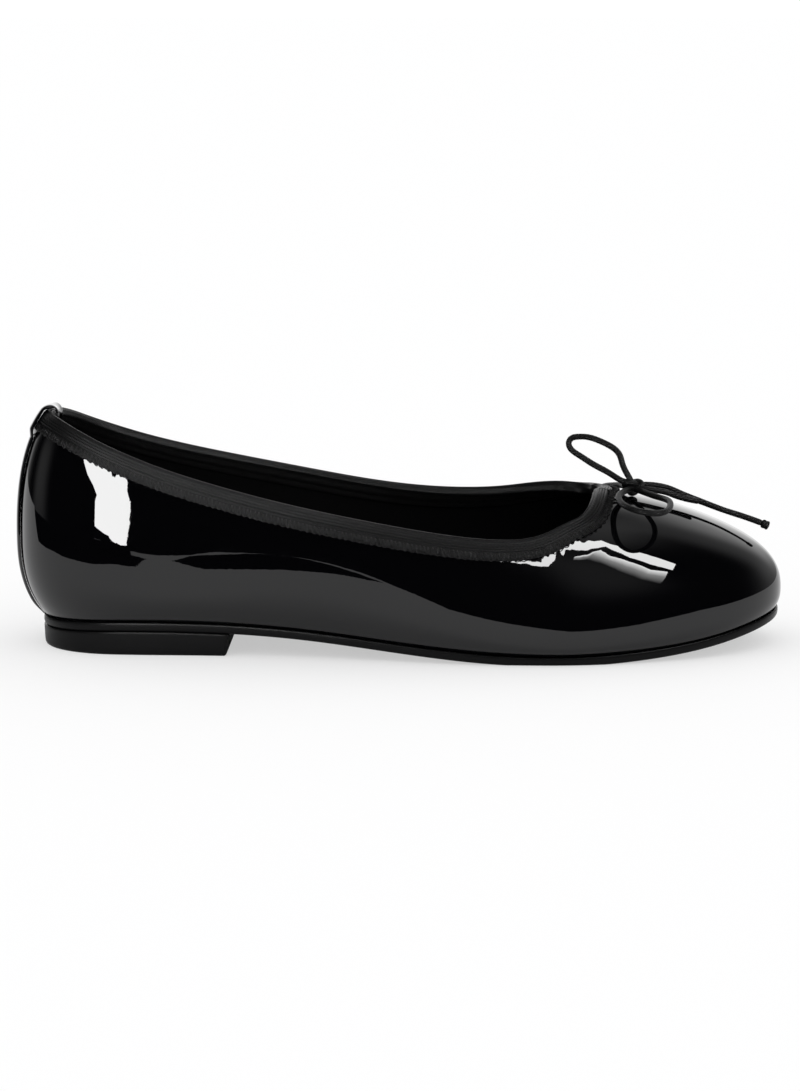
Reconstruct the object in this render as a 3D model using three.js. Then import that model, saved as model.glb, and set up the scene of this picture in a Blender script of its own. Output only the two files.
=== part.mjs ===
// Ballet flat, right shoe. Millimetres, +X to the toe, +Y to the inner (medial) side, +Z up.
// The upper, its binding, the back strip, the insole and the outsole all come from one function of the
// last: a ray in plan, and a height share along it.
import * as THREE from "three";

// Driving sizes.
const LENGTH = 250;          // upper, heel back to toe tip
const BALL_WIDTH = 82;       // widest, across the ball
const HEEL_WIDTH = 58;       // widest, across the heel
const HEEL_LIFT = 7.9;       // seat of the heel above the tread's level
const TOE_SPRING = 9.6;      // feather line at the toe above the tread's level
const INSTEP = 50;           // crown of the upper above its fullest line, at the throat
const BULGE = 27;            // fullest line above the sole, at the heel back
const TUCK = 4.5;            // how far the wall turns in below its fullest line
const COLLAR = 68;           // collar above the sole, at the heel back
const WALL = 1.6;            // upper and its lining
const LASTING = 3;           // turned-in edge of the upper under the foot
const GAP = 0.3;             // clearance between pieces that touch
const SOLE = 2.95;           // outsole thickness
const SOLE_EDGE = 0.8;       // outsole beyond the feather line
const INSOLE = 2;            // insole thickness
const BREAST = 70.4;         // front face of the heel block, from the heel back
const BINDING = 0.9;         // binding thickness
const BINDING_LEG = 5.8;     // binding below the collar edge, on both faces
const STRIP = 1;             // back strip thickness
const STRIP_WIDTH = 18;      // back strip width
const CORD = 2;              // bow cord diameter
const KNOB_LENGTH = 2.6;     // fused knob at the long tail's tip
const KNOB_WIDTH = 2.9;

// Rows of numbers under named columns.
const named = (names, rows) => rows.map((row) => Object.fromEntries(row.map((n, i) => [names[i], n])));

// Sections of the last, from the heel back to the toe. at: share of LENGTH. axis: ridge of the crown, share
// of BALL_WIDTH. lateral, medial: half widths as shares of half the local width. heel: share of HEEL_LIFT.
// toe: share of TOE_SPRING. bulge: share of BULGE. crown: share of INSTEP. tuck: share of TUCK.
const SECTIONS = named(["at", "axis", "lateral", "medial", "heel", "toe", "bulge", "crown", "tuck"], [
  [0.000, 0.000, 0.983, 0.983, 0.81, 0.00, 1.00, 1.14, 1.78],
  [0.120, 0.000, 1.000, 1.000, 1.00, 0.00, 0.52, 1.18, 1.00],
  [0.248, 0.000, 1.017, 0.983, 0.99, 0.00, 0.41, 1.12, 0.89],
  [0.380, 0.006, 1.026, 0.840, 0.78, 0.00, 0.56, 1.00, 1.00],
  [0.520, 0.024, 1.035, 0.823, 0.33, 0.00, 0.37, 0.98, 0.78],
  [0.660, 0.049, 1.085, 0.866, 0.01, 0.00, 0.16, 0.98, 0.58],
  [0.728, 0.061, 1.098, 0.902, 0.00, 0.00, 0.13, 0.91, 0.53],
  [0.820, 0.067, 1.049, 0.951, 0.00, 0.13, 0.17, 0.84, 0.49],
  [0.912, 0.073, 1.012, 0.988, 0.00, 0.46, 0.20, 0.74, 0.44],
  [1.000, 0.079, 1.000, 1.000, 0.00, 1.00, 0.20, 0.62, 0.36],
]);

// Collar line. at: share of LENGTH. lateral, medial: height above the sole on each side, share of COLLAR.
const COLLAR_LINE = [
  { at: 0.000, lateral: 1.000, medial: 1.000 },
  { at: 0.048, lateral: 0.960, medial: 0.953 },
  { at: 0.080, lateral: 0.905, medial: 0.893 },
  { at: 0.120, lateral: 0.829, medial: 0.829 },
  { at: 0.180, lateral: 0.734, medial: 0.762 },
  { at: 0.256, lateral: 0.651, medial: 0.704 },
  { at: 0.360, lateral: 0.579, medial: 0.646 },
  { at: 0.480, lateral: 0.538, medial: 0.606 },
  { at: 0.584, lateral: 0.518, medial: 0.612 },
  { at: 0.640, lateral: 0.518, medial: 0.637 },
  { at: 0.688, lateral: 0.546, medial: 0.672 },
  { at: 0.720, lateral: 0.591, medial: 0.682 },
  { at: 0.744, lateral: 0.632, medial: 0.682 },
  { at: 0.760, lateral: 0.697, medial: 0.697 },
];

const FULLNESS = 2.25;                // exponent of the plan's ends and of the cross-sections
const UNDERCUT = 2.6;                 // exponent of the turn-in below the fullest line
const BACK = STRIP;                   // the strip stands behind the upper's own back
const HEEL_RUN = 0.136 * LENGTH;      // where the heel's round ends
const TOE_START = 0.672 * LENGTH;     // where the toe's taper starts
const TOE_CENTRE = 0.68 * LENGTH;     // centre of the toe's rays
const COLLAR_BLEND = 0.22 * BALL_WIDTH;

// Smooth curve through a table's column, held level past its ends.
function column(table, name, at) {
  const last = table.length - 1;
  const x = Math.min(Math.max(at, table[0].at), table[last].at);
  let i = 0;
  while (i < last - 1 && x > table[i + 1].at) {
    i += 1;
  }
  const chord = (k) => (table[k + 1][name] - table[k][name]) / (table[k + 1].at - table[k].at);
  const slope = (k) => {
    if (k === 0) {
      return chord(0);
    }
    if (k === last) {
      return chord(last - 1);
    }
    const before = table[k].at - table[k - 1].at;
    const after = table[k + 1].at - table[k].at;
    return (chord(k - 1) * after + chord(k) * before) / (before + after);
  };
  const h = table[i + 1].at - table[i].at;
  const t = (x - table[i].at) / h;
  const a = 2 * t ** 3 - 3 * t ** 2 + 1;
  const b = t ** 3 - 2 * t ** 2 + t;
  const c = 3 * t ** 2 - 2 * t ** 3;
  const d = t ** 3 - t ** 2;
  return a * table[i][name] + b * h * slope(i) + c * table[i + 1][name] + d * h * slope(i + 1);
}

const section = (name, x) => column(SECTIONS, name, x / LENGTH);
const smooth = (t) => {
  const u = Math.min(Math.max(t, 0), 1);
  return u * u * (3 - 2 * u);
};
const localWidth = (x) => HEEL_WIDTH + (BALL_WIDTH - HEEL_WIDTH) * smooth((x / LENGTH - 0.22) / 0.42);
const axis = (x) => section("axis", x) * BALL_WIDTH;
// Height of the feather line, where the upper meets the outsole.
const feather = (x) => SOLE + section("heel", x) * HEEL_LIFT + section("toe", x) * TOE_SPRING;
const bulge = (x) => section("bulge", x) * BULGE;
const crown = (x) => section("crown", x) * INSTEP;
const tuck = (x) => section("tuck", x) * TUCK;
const soleTop = (x) => feather(x) - GAP;
const soleUnder = (x) => Math.max(0, feather(x) - GAP - SOLE);

// 1 on the fullest outline in plan, falling to 0 over the crown's ridge.
function outlineShare(x, y) {
  const c = axis(x);
  const w = (section(y < c ? "lateral" : "medial", x) * localWidth(x)) / 2;
  let end = 0;
  if (x < HEEL_RUN) {
    end = (HEEL_RUN - x) / (HEEL_RUN - BACK);
  }
  if (x > TOE_START) {
    end = (x - TOE_START) / (LENGTH - TOE_START);
  }
  return (Math.abs(y - c) / w) ** FULLNESS + end ** FULLNESS;
}

// Rays in plan, in their order round the shoe: heel fan, lateral side, toe fan, medial side, heel fan.
const HEEL_STEPS = 8;
const SIDE_STEPS = 20;
const TOE_STEPS = 28;
const STATIONS = 2 * HEEL_STEPS + 2 * SIDE_STEPS + TOE_STEPS;

function sideRay(x, side) {
  return { x, y: 0, dx: 0, dy: side };
}

function rayAt(station) {
  let s = ((station % STATIONS) + STATIONS) % STATIONS;
  const run = TOE_CENTRE - HEEL_RUN;
  if (s < HEEL_STEPS) {
    const a = (s / HEEL_STEPS) * (Math.PI / 2);
    return { x: HEEL_RUN, y: 0, dx: -Math.cos(a), dy: -Math.sin(a) };
  }
  s -= HEEL_STEPS;
  if (s < SIDE_STEPS) {
    return sideRay(HEEL_RUN + (run * s) / SIDE_STEPS, -1);
  }
  s -= SIDE_STEPS;
  if (s < TOE_STEPS) {
    const a = (s / TOE_STEPS) * Math.PI;
    return { x: TOE_CENTRE, y: 0, dx: Math.sin(a), dy: -Math.cos(a) };
  }
  s -= TOE_STEPS;
  if (s < SIDE_STEPS) {
    return sideRay(TOE_CENTRE - (run * s) / SIDE_STEPS, 1);
  }
  s -= SIDE_STEPS;
  const a = (s / HEEL_STEPS) * (Math.PI / 2);
  return { x: HEEL_RUN, y: 0, dx: -Math.sin(a), dy: Math.cos(a) };
}

// Distance along a ray to where outlineShare takes a value.
function reach(ray, share) {
  let near = 0;
  let far = LENGTH / 2;
  for (let i = 0; i < 30; i += 1) {
    const mid = (near + far) / 2;
    if (outlineShare(ray.x + ray.dx * mid, ray.y + ray.dy * mid) > share) {
      far = mid;
    } else {
      near = mid;
    }
  }
  return (near + far) / 2;
}

function alongRay(ray, r, z) {
  return new THREE.Vector3(ray.x + ray.dx * r, ray.y + ray.dy * r, z);
}

// The last: t from -1 at the feather line, through 0 at the fullest line, to 1 on the crown's ridge.
function last(ray, t) {
  if (t < 0) {
    const full = reach(ray, 1);
    const r = full - tuck(ray.x + ray.dx * full) * (-t) ** UNDERCUT;
    const x = ray.x + ray.dx * r;
    return alongRay(ray, r, feather(x) + bulge(x) * (1 + t));
  }
  const r = reach(ray, Math.max(0, 1 - t ** FULLNESS));
  const x = ray.x + ray.dx * r;
  return alongRay(ray, r, feather(x) + bulge(x) + t * crown(x));
}

// Outward direction of the last.
function outward(station, t) {
  const along = last(rayAt(station + 0.2), t).sub(last(rayAt(station - 0.2), t));
  const low = Math.max(-1, t - 0.02);
  const up = last(rayAt(station), t + 0.02).sub(last(rayAt(station), low));
  return along.cross(up).normalize();
}

function collarHeight(x, y) {
  const k = smooth(0.5 + y / (2 * COLLAR_BLEND));
  const lateral = column(COLLAR_LINE, "lateral", x / LENGTH);
  const medial = column(COLLAR_LINE, "medial", x / LENGTH);
  return feather(x) + COLLAR * (lateral * (1 - k) + medial * k);
}

// Height share of the collar on a ray.
function collarShare(ray) {
  let low = 0;
  let high = 0.975;
  for (let i = 0; i < 26; i += 1) {
    const mid = (low + high) / 2;
    const p = last(ray, mid);
    if (p.z > collarHeight(p.x, p.y)) {
      high = mid;
    } else {
      low = mid;
    }
  }
  return (low + high) / 2;
}

// Everything a station of the collar needs: its height shares at the edge and below it, and its frame.
const collar = [];
for (let k = 0; k < STATIONS; k += 1) {
  const ray = rayAt(k);
  const share = collarShare(ray);
  collar.push({ ray, share, edge: last(ray, share) });
}
collar.forEach((c, k) => {
  const before = collar[(k + STATIONS - 1) % STATIONS].edge;
  const after = collar[(k + 1) % STATIONS].edge;
  c.along = after.clone().sub(before).normalize();
  c.out = outward(k, c.share);
  c.out.addScaledVector(c.along, -c.out.dot(c.along)).normalize();
  c.up = c.out.clone().cross(c.along).normalize();
  // height share at a distance down the wall, measured square to the edge
  const shareBelow = (distance) => {
    let low = 0;
    let high = c.share;
    for (let i = 0; i < 24; i += 1) {
      const mid = (low + high) / 2;
      const d = last(c.ray, mid).sub(c.edge);
      d.addScaledVector(c.along, -d.dot(c.along));
      if (d.length() > distance) {
        low = mid;
      } else {
        high = mid;
      }
    }
    return (low + high) / 2;
  };
  c.middle = shareBelow(BINDING_LEG / 2);
  c.leg = shareBelow(BINDING_LEG);
  c.below = shareBelow(BINDING_LEG + 2 * (BINDING + GAP));
});

const collarAt = (k) => collar[((k % STATIONS) + STATIONS) % STATIONS];

// A point of the wall, offset outward (or inward, below 0) from the last.
function wallPoint(k, t, offset) {
  const c = collarAt(k);
  const out = t === c.share ? c.out : outward(k, t);
  return last(c.ray, t).addScaledVector(out, offset);
}

// One closed body from points and triangles, without the triangles that have no area.
function solid(points, faces) {
  const kept = faces.filter(([a, b, c]) => {
    const ab = points[b].clone().sub(points[a]);
    const ac = points[c].clone().sub(points[a]);
    return ab.cross(ac).length() > 1e-6;
  });
  const geometry = new THREE.BufferGeometry();
  const flat = points.flatMap((p) => [p.x, p.y, p.z]);
  geometry.setAttribute("position", new THREE.Float32BufferAttribute(flat, 3));
  geometry.setIndex(kept.flat());
  geometry.computeVertexNormals();
  return geometry;
}

// Joins rings of as many points each. Rings follow one another with the solid on the left of the way they
// run. Open rows of rings are capped across; closed ones meet their first ring again.
function loft(rings, { closed = false, caps = true } = {}) {
  const n = rings[0].length;
  const points = rings.flat();
  const faces = [];
  const count = closed ? rings.length : rings.length - 1;
  for (let r = 0; r < count; r += 1) {
    const a = r * n;
    const b = ((r + 1) % rings.length) * n;
    for (let i = 0; i < n; i += 1) {
      const j = (i + 1) % n;
      faces.push([a + i, a + j, b + j], [a + i, b + j, b + i]);
    }
  }
  if (!closed && caps) {
    const end = (rings.length - 1) * n;
    for (let i = 0; i < n / 2 - 1; i += 1) {
      const j = n - 1 - i;
      faces.push([i, j - 1, i + 1], [i, j, j - 1]);
      faces.push([end + i, end + i + 1, end + j - 1], [end + i, end + j - 1, end + j]);
    }
  }
  return solid(points, faces);
}

const stations = Array.from({ length: STATIONS }, (_, k) => k);

// Upper: outer face from the feather line up to the collar, inner face back down, a wall apart.
const LOWER_ROWS = [-0.74, -0.44, -0.18];
const UPPER_ROWS = [0.28, 0.54, 0.78];
const upperRings = [
  stations.map((k) => last(collar[k].ray, -1)),
  ...LOWER_ROWS.map((t) => stations.map((k) => wallPoint(k, t, 0))),
  stations.map((k) => wallPoint(k, 0, 0)),
  ...UPPER_ROWS.map((f) => stations.map((k) => wallPoint(k, collar[k].leg * f, 0))),
  stations.map((k) => wallPoint(k, collar[k].leg, 0)),
  stations.map((k) => wallPoint(k, collar[k].middle, 0)),
  stations.map((k) => wallPoint(k, collar[k].share, 0)),
  stations.map((k) => wallPoint(k, collar[k].share, -WALL)),
  stations.map((k) => wallPoint(k, collar[k].middle, -WALL)),
  stations.map((k) => wallPoint(k, collar[k].leg, -WALL)),
  ...UPPER_ROWS.toReversed().map((f) => stations.map((k) => wallPoint(k, collar[k].leg * f, -WALL))),
  stations.map((k) => wallPoint(k, 0, -WALL)),
  ...LOWER_ROWS.slice(0, 2).toReversed().map((t) => stations.map((k) => wallPoint(k, t, -WALL))),
  stations.map((k) => {
    const p = last(collar[k].ray, -1);
    const ray = collar[k].ray;
    const x = p.x - ray.dx * LASTING;
    return new THREE.Vector3(x, p.y - ray.dy * LASTING, feather(x));
  }),
];
const upperGeometry = loft(upperRings, { closed: true });

// Binding: a fold over the collar edge, with a leg down each face of the wall.
const FOLD_ANGLES = [45, 90, 135];
const FOLD_RISE = BINDING + GAP + 0.2;

function foldPoint(c, degrees, out, rise) {
  const a = THREE.MathUtils.degToRad(degrees);
  return c.edge
    .clone()
    .addScaledVector(c.out, -WALL / 2 + (WALL / 2 + out) * Math.cos(a))
    .addScaledVector(c.up, rise * Math.sin(a));
}

const bindingRings = [
  stations.map((k) => wallPoint(k, collar[k].leg, GAP + BINDING)),
  stations.map((k) => wallPoint(k, collar[k].middle, GAP + BINDING)),
  stations.map((k) => wallPoint(k, collar[k].share, GAP + BINDING)),
  ...FOLD_ANGLES.map((a) => stations.map((k) => foldPoint(collar[k], a, GAP + BINDING, FOLD_RISE))),
  stations.map((k) => wallPoint(k, collar[k].share, -WALL - GAP - BINDING)),
  stations.map((k) => wallPoint(k, collar[k].middle, -WALL - GAP - BINDING)),
  stations.map((k) => wallPoint(k, collar[k].leg, -WALL - GAP - BINDING)),
  stations.map((k) => wallPoint(k, collar[k].leg, -WALL - GAP)),
  stations.map((k) => wallPoint(k, collar[k].middle, -WALL - GAP)),
  stations.map((k) => wallPoint(k, collar[k].share, -WALL - GAP).addScaledVector(collar[k].up, GAP)),
  stations.map((k) => wallPoint(k, collar[k].share, GAP).addScaledVector(collar[k].up, GAP)),
  stations.map((k) => wallPoint(k, collar[k].middle, GAP)),
  stations.map((k) => wallPoint(k, collar[k].leg, GAP)),
];
const bindingGeometry = loft(bindingRings, { closed: true });

// Back strip: up the heel's back, a step out over the binding, over the fold and down inside.
const OVER = GAP + BINDING + GAP;
const PUFF = 0.8;
const STRIP_PATH = [
  { place: (k, o) => wallPoint(k, -0.95, o), from: GAP },
  ...LOWER_ROWS.map((t) => ({ place: (k, o) => wallPoint(k, t, o), from: GAP })),
  { place: (k, o) => wallPoint(k, 0, o), from: GAP },
  ...UPPER_ROWS.map((f) => ({ place: (k, o) => wallPoint(k, collarAt(k).leg * f, o), from: GAP })),
  { place: (k, o) => wallPoint(k, collarAt(k).below, o), from: GAP },
  { place: (k, o) => wallPoint(k, collarAt(k).leg, o), from: OVER },
  { place: (k, o) => wallPoint(k, collarAt(k).middle, o), from: OVER },
  { place: (k, o) => wallPoint(k, collarAt(k).share, o), from: OVER },
  ...FOLD_ANGLES.map((a) => ({
    place: (k, o) => foldPoint(collarAt(k), a, o, FOLD_RISE + PUFF + o - GAP - BINDING),
    from: OVER,
  })),
  { place: (k, o) => wallPoint(k, collarAt(k).share, -WALL - o), from: OVER },
  { place: (k, o) => wallPoint(k, collarAt(k).middle, -WALL - o), from: OVER },
  { place: (k, o) => wallPoint(k, collarAt(k).below, -WALL - o), from: OVER },
];
const STATION_WIDTH = ((HEEL_RUN - BACK) * (Math.PI / 2)) / HEEL_STEPS;
const HALF_SPAN = STRIP_WIDTH / 2 / STATION_WIDTH;
const whole = Math.floor(HALF_SPAN);
const spread = [];
for (let s = 1; s <= whole; s += 1) {
  spread.push(s);
}
if (HALF_SPAN - whole > 0.02) {
  spread.push(HALF_SPAN);
}
const stripColumns = [...spread.toReversed().map((s) => -s), 0, ...spread];

function stripPoint(row, s, offset) {
  const low = Math.floor(s);
  const a = row.place(low, offset);
  return s === low ? a : a.lerp(row.place(low + 1, offset), s - low);
}

const stripRings = STRIP_PATH.map((row) => [
  ...stripColumns.map((s) => stripPoint(row, s, row.from + STRIP)),
  ...stripColumns.toReversed().map((s) => stripPoint(row, s, row.from)),
]);
const stripGeometry = loft(stripRings);

// Flat pieces that fill the plan: rings of the same rays at shares of their reach, top and then underside.
function plate(levels) {
  return loft(
    levels.map(({ share, grow, height }) =>
      stations.map((k) => {
        const ray = collar[k].ray;
        const edge = last(ray, -1);
        const full = Math.hypot(edge.x - ray.x, edge.y - ray.y) + grow;
        const r = share * full;
        return alongRay(ray, r, height(ray.x + ray.dx * r));
      }),
    ),
    { caps: false },
  );
}

// Shares of the reach that carry the sole's rise and fall from its middle line to its edge.
const PLATE_SHARES = [0, 0.22, 0.48, 0.74, 0.9];
const face = (height, grow) => PLATE_SHARES.map((share) => ({ share, grow, height }));

const SOLE_ROUND = 0.7;     // how far the sole's lower edge is rounded in
const outsoleGeometry = plate([
  ...face(soleUnder, SOLE_EDGE),
  { share: 1, grow: SOLE_EDGE - SOLE_ROUND, height: soleUnder },
  { share: 1, grow: SOLE_EDGE, height: (x) => (2 * soleUnder(x) + soleTop(x)) / 3 },
  { share: 1, grow: SOLE_EDGE, height: soleTop },
  ...face(soleTop, SOLE_EDGE).toReversed(),
]);

const INSOLE_EDGE = -LASTING - GAP;
const INSOLE_SKIVE = 0.8;   // how far the insole's edge slopes out to its top
const insoleTop = (x) => feather(x) + INSOLE;
const insoleGeometry = plate([
  ...face(feather, INSOLE_EDGE),
  { share: 1, grow: INSOLE_EDGE, height: feather },
  { share: 1, grow: INSOLE_EDGE + INSOLE_SKIVE, height: insoleTop },
  ...face(insoleTop, INSOLE_EDGE).toReversed(),
]);

// Heel block: the seat's outline cut at the breast, flat underneath.
const sideStep = (TOE_CENTRE - HEEL_RUN) / SIDE_STEPS;
const seatSteps = HEEL_STEPS + Math.floor((BREAST - 1 - HEEL_RUN) / sideStep);
const seatRays = Array.from({ length: 2 * seatSteps + 1 }, (_, i) => rayAt(i - seatSteps));
const breastRays = [sideRay(BREAST, 1), ...seatRays, sideRay(BREAST, -1)];
const BLOCK_LEVELS = [
  { height: 0, inset: 1.1, breast: -1.1 },
  { height: 0.1, inset: 0.6, breast: -0.5 },
  { height: 0.72, inset: 0.15, breast: 0 },
  { height: 1, inset: 0, breast: 0.9 },
];

function blockRing(level) {
  const ring = breastRays.map((ray, i) => {
    const edge = last(ray, -1);
    const r = Math.hypot(edge.x - ray.x, edge.y - ray.y) + SOLE_EDGE - level.inset;
    const front = i === 0 || i === breastRays.length - 1;
    const p = alongRay(ray, r, 0);
    if (front) {
      p.x += level.breast;
    }
    p.z = (soleUnder(p.x) - GAP) * level.height;
    return p;
  });
  return ring;
}

const blockRings = BLOCK_LEVELS.map(blockRing);
const blockCentre = (ring, height) => {
  const x = HEEL_RUN;
  return ring.map(() => new THREE.Vector3(x, 0, (soleUnder(x) - GAP) * height));
};
const heelGeometry = loft(
  [blockCentre(blockRings[0], 0), ...blockRings, blockCentre(blockRings[3], 1)],
  { caps: false },
);

// Bow: one cord, shown as its stretches, which meet the knot face to face.
const KNOT = { x: 0.804 * LENGTH, y: 1.5, z: 51.4, rx: 3.5, ry: 2.4, rz: 2.4 };
const knotGeometry = new THREE.SphereGeometry(1, 10, 7);
knotGeometry.scale(KNOT.rx, KNOT.ry, KNOT.rz);
knotGeometry.translate(KNOT.x, KNOT.y, KNOT.z);

// Where a cord that leads the given way leaves the knot.
function knotExit(x, y, z) {
  const way = new THREE.Vector3(x, y, z).normalize();
  const r = 1 / Math.hypot(way.x / KNOT.rx, way.y / KNOT.ry, way.z / KNOT.rz) + 2 * GAP;
  return new THREE.Vector3(KNOT.x + way.x * r, KNOT.y + way.y * r, KNOT.z + way.z * r);
}

function cord(points, diameter = CORD) {
  const curve = new THREE.CatmullRomCurve3(points, false, "centripetal");
  const ring = new THREE.Shape();
  const sides = 8;
  for (let i = 0; i < sides; i += 1) {
    const a = (i / sides) * 2 * Math.PI;
    const r = diameter / 2;
    if (i === 0) {
      ring.moveTo(r * Math.cos(a), r * Math.sin(a));
    } else {
      ring.lineTo(r * Math.cos(a), r * Math.sin(a));
    }
  }
  ring.closePath();
  const steps = Math.max(2, Math.round(curve.getLength() / (1.6 * diameter)));
  return new THREE.ExtrudeGeometry(ring, { steps, curveSegments: 1, extrudePath: curve });
}

const v = (x, y, z) => new THREE.Vector3(x, y, z);
const loopMedialPoints = [
  knotExit(-1, 0.15, 0.5),
  v(193.2, 5.5, 55.3), v(188.3, 7.5, 57.7), v(184.0, 9.5, 60.2), v(181.0, 11.0, 62.2),
  v(180.2, 12.0, 64.2), v(181.2, 12.5, 65.7), v(183.4, 12.5, 66.2), v(186.7, 12.0, 66.1),
  v(191.0, 10.5, 64.8), v(194.9, 8.5, 62.9), v(196.8, 6.5, 60.8), v(197.8, 4.5, 57.7),
  knotExit(-0.45, 0.2, 1),
];
const loopLateralPoints = [
  knotExit(-0.6, -1, -0.2),
  v(196.5, -8.3, 50.6), v(195.6, -14.5, 50.3), v(196.3, -21.0, 49.5), v(198.6, -26.8, 48.9),
  v(201.8, -30.4, 48.4), v(205.7, -31.8, 48.1), v(209.0, -29.8, 48.1), v(211.3, -24.6, 48.7),
  v(211.7, -18.6, 49.6), v(210.1, -13.2, 49.8), v(207.2, -8.6, 50.0),
  knotExit(0.75, -1, -0.35),
];
const tailLongPoints = [
  knotExit(1, 0.45, 0.12),
  v(211.5, 4.2, 50.8), v(215.4, 4.6, 49.3), v(220.3, 5.0, 47.2), v(225.9, 5.4, 45.0),
  v(231.4, 5.8, 42.9), v(236.9, 6.2, 41.1), v(242.4, 6.6, 39.1), v(243.6, 6.7, 38.6),
];
const tailShortPoints = [
  knotExit(1, -0.35, -0.12),
  v(210.6, 0.4, 50.0), v(214.5, 0.7, 48.7), v(218.8, 1.1, 47.4), v(222.6, 1.6, 46.6),
];
const drawstringPoints = [
  v(192.7, 19.5, 48.7), v(194.6, 16.1, 49.5), v(196.2, 12.8, 50.1), v(197.9, 8.5, 50.7),
  knotExit(-0.7, 1, -0.25),
];

const knobWay = v(243.6, 6.7, 38.6).sub(v(242.4, 6.6, 39.1)).normalize();
const knobStart = v(243.6, 6.7, 38.6).addScaledVector(knobWay, GAP);
const knobGeometry = cord([knobStart, knobStart.clone().addScaledVector(knobWay, KNOB_LENGTH)], KNOB_WIDTH);

// The shoe.
const material = (color, roughness) => new THREE.MeshStandardMaterial({ color, roughness, metalness: 0 });
const patent = () => material(0x0b0b0c, 0.08);
const rubber = () => material(0x1b1b1c, 0.55);
const elastic = () => material(0x1a1a1b, 0.7);
const lining = () => material(0x111112, 0.8);
const braid = () => material(0x151516, 0.75);

const shoe = new THREE.Group();
const piece = (name, geometry, look) => {
  const mesh = new THREE.Mesh(geometry, look);
  mesh.name = name;
  shoe.add(mesh);
  return mesh;
};
const body = [
  piece("outsole", outsoleGeometry, rubber()),
  piece("heel_block", heelGeometry, rubber()),
  piece("insole", insoleGeometry, lining()),
  piece("upper", upperGeometry, patent()),
  piece("topline_binding", bindingGeometry, elastic()),
  piece("back_strip", stripGeometry, patent()),
];
piece("bow_knot", knotGeometry, braid());
piece("bow_loop_medial", cord(loopMedialPoints), braid());
piece("bow_loop_lateral", cord(loopLateralPoints), braid());
piece("bow_tail_long", cord(tailLongPoints), braid());
piece("bow_tail_short", cord(tailShortPoints), braid());
piece("bow_tail_knob", knobGeometry, braid());
piece("bow_drawstring", cord(drawstringPoints), braid());

// Origin under the middle of the shoe, on the floor; the bow does not count.
const box = new THREE.Box3();
for (const mesh of body) {
  box.expandByObject(mesh);
}
shoe.position.set(-(box.min.x + box.max.x) / 2, -(box.min.y + box.max.y) / 2, -box.min.z);

export default shoe;
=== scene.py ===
import math

import bmesh
import bpy
import numpy as np
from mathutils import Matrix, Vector


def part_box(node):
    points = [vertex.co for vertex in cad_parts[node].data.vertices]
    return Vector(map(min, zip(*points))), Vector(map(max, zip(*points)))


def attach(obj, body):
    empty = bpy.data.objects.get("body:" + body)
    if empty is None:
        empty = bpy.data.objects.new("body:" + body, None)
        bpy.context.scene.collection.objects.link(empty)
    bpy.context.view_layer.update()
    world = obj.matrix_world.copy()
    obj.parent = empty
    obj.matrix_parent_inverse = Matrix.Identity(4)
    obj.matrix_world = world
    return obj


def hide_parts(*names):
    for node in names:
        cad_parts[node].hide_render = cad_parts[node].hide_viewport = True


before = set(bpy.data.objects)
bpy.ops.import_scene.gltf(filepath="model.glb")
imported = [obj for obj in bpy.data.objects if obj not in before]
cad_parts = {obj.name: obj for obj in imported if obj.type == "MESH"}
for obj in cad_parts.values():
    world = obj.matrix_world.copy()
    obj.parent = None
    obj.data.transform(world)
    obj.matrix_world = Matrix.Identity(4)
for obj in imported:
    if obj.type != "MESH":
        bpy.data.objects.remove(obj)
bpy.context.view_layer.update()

# Camera. It stands a metre from the shoe's outer side, ten degrees up and a touch towards the toe, and looks
# at the middle of the shoe. The lens frames 0.36 m from top to bottom at that distance.
MM = 0.001
VIEW_AZIMUTH = math.radians(1.5)
VIEW_ELEVATION = math.radians(10)
VIEW_DISTANCE = 1.0
VIEW_TARGET = Vector((0.2 * MM, -0.8 * MM, 31.8 * MM))
LENS = 100.84
SENSOR_HEIGHT = 36

camera_data = bpy.data.cameras.new("camera")
camera_data.lens = LENS
camera_data.sensor_fit = "VERTICAL"
camera_data.sensor_height = SENSOR_HEIGHT
camera_data.sensor_width = SENSOR_HEIGHT
camera = bpy.data.objects.new("camera", camera_data)
to_camera = Vector((
    math.sin(VIEW_AZIMUTH) * math.cos(VIEW_ELEVATION),
    -math.cos(VIEW_AZIMUTH) * math.cos(VIEW_ELEVATION),
    math.sin(VIEW_ELEVATION),
))
camera.location = VIEW_TARGET + to_camera * VIEW_DISTANCE
camera.rotation_euler = to_camera.to_track_quat("Z", "Y").to_euler()
bpy.context.scene.collection.objects.link(camera)
bpy.context.scene.camera = camera
bpy.context.scene.view_settings.view_transform = "Standard"

# Outsole. A thin moulded rubber sole with a plain rounded edge, cut to the last's feather line and cemented
# under the upper. It rises at the heel, lies flat at the ball and springs at the toe.
LENGTH = 250 * MM
BALL_WIDTH = 82 * MM
HEEL_WIDTH = 58 * MM
HEEL_LIFT = 7.9 * MM
TOE_SPRING = 9.6 * MM
INSTEP = 50 * MM
BULGE = 27 * MM
TUCK = 4.5 * MM
STRIP = 1 * MM
GAP = 0.3 * MM
SOLE = 2.95 * MM
SOLE_EDGE = 0.8 * MM
FULLNESS = 2.25                  # exponent of the plan's ends and of the cross-sections
UNDERCUT = 2.6                   # exponent of the turn-in below the fullest line
BACK = STRIP                     # the back strip stands behind the upper's own back
HEEL_RUN = 0.136 * LENGTH        # where the heel's round ends
TOE_START = 0.672 * LENGTH       # where the toe's taper starts
TOE_CENTRE = 0.68 * LENGTH       # centre of the toe's rays

# The last's own origin in the frame: the heel's back, on the middle line of the strip, on the floor.
STRIP_LOW, STRIP_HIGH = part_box("back_strip")
ORIGIN = np.array([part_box("upper")[0][0] - BACK, (STRIP_LOW[1] + STRIP_HIGH[1]) / 2, 0.0])

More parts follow.
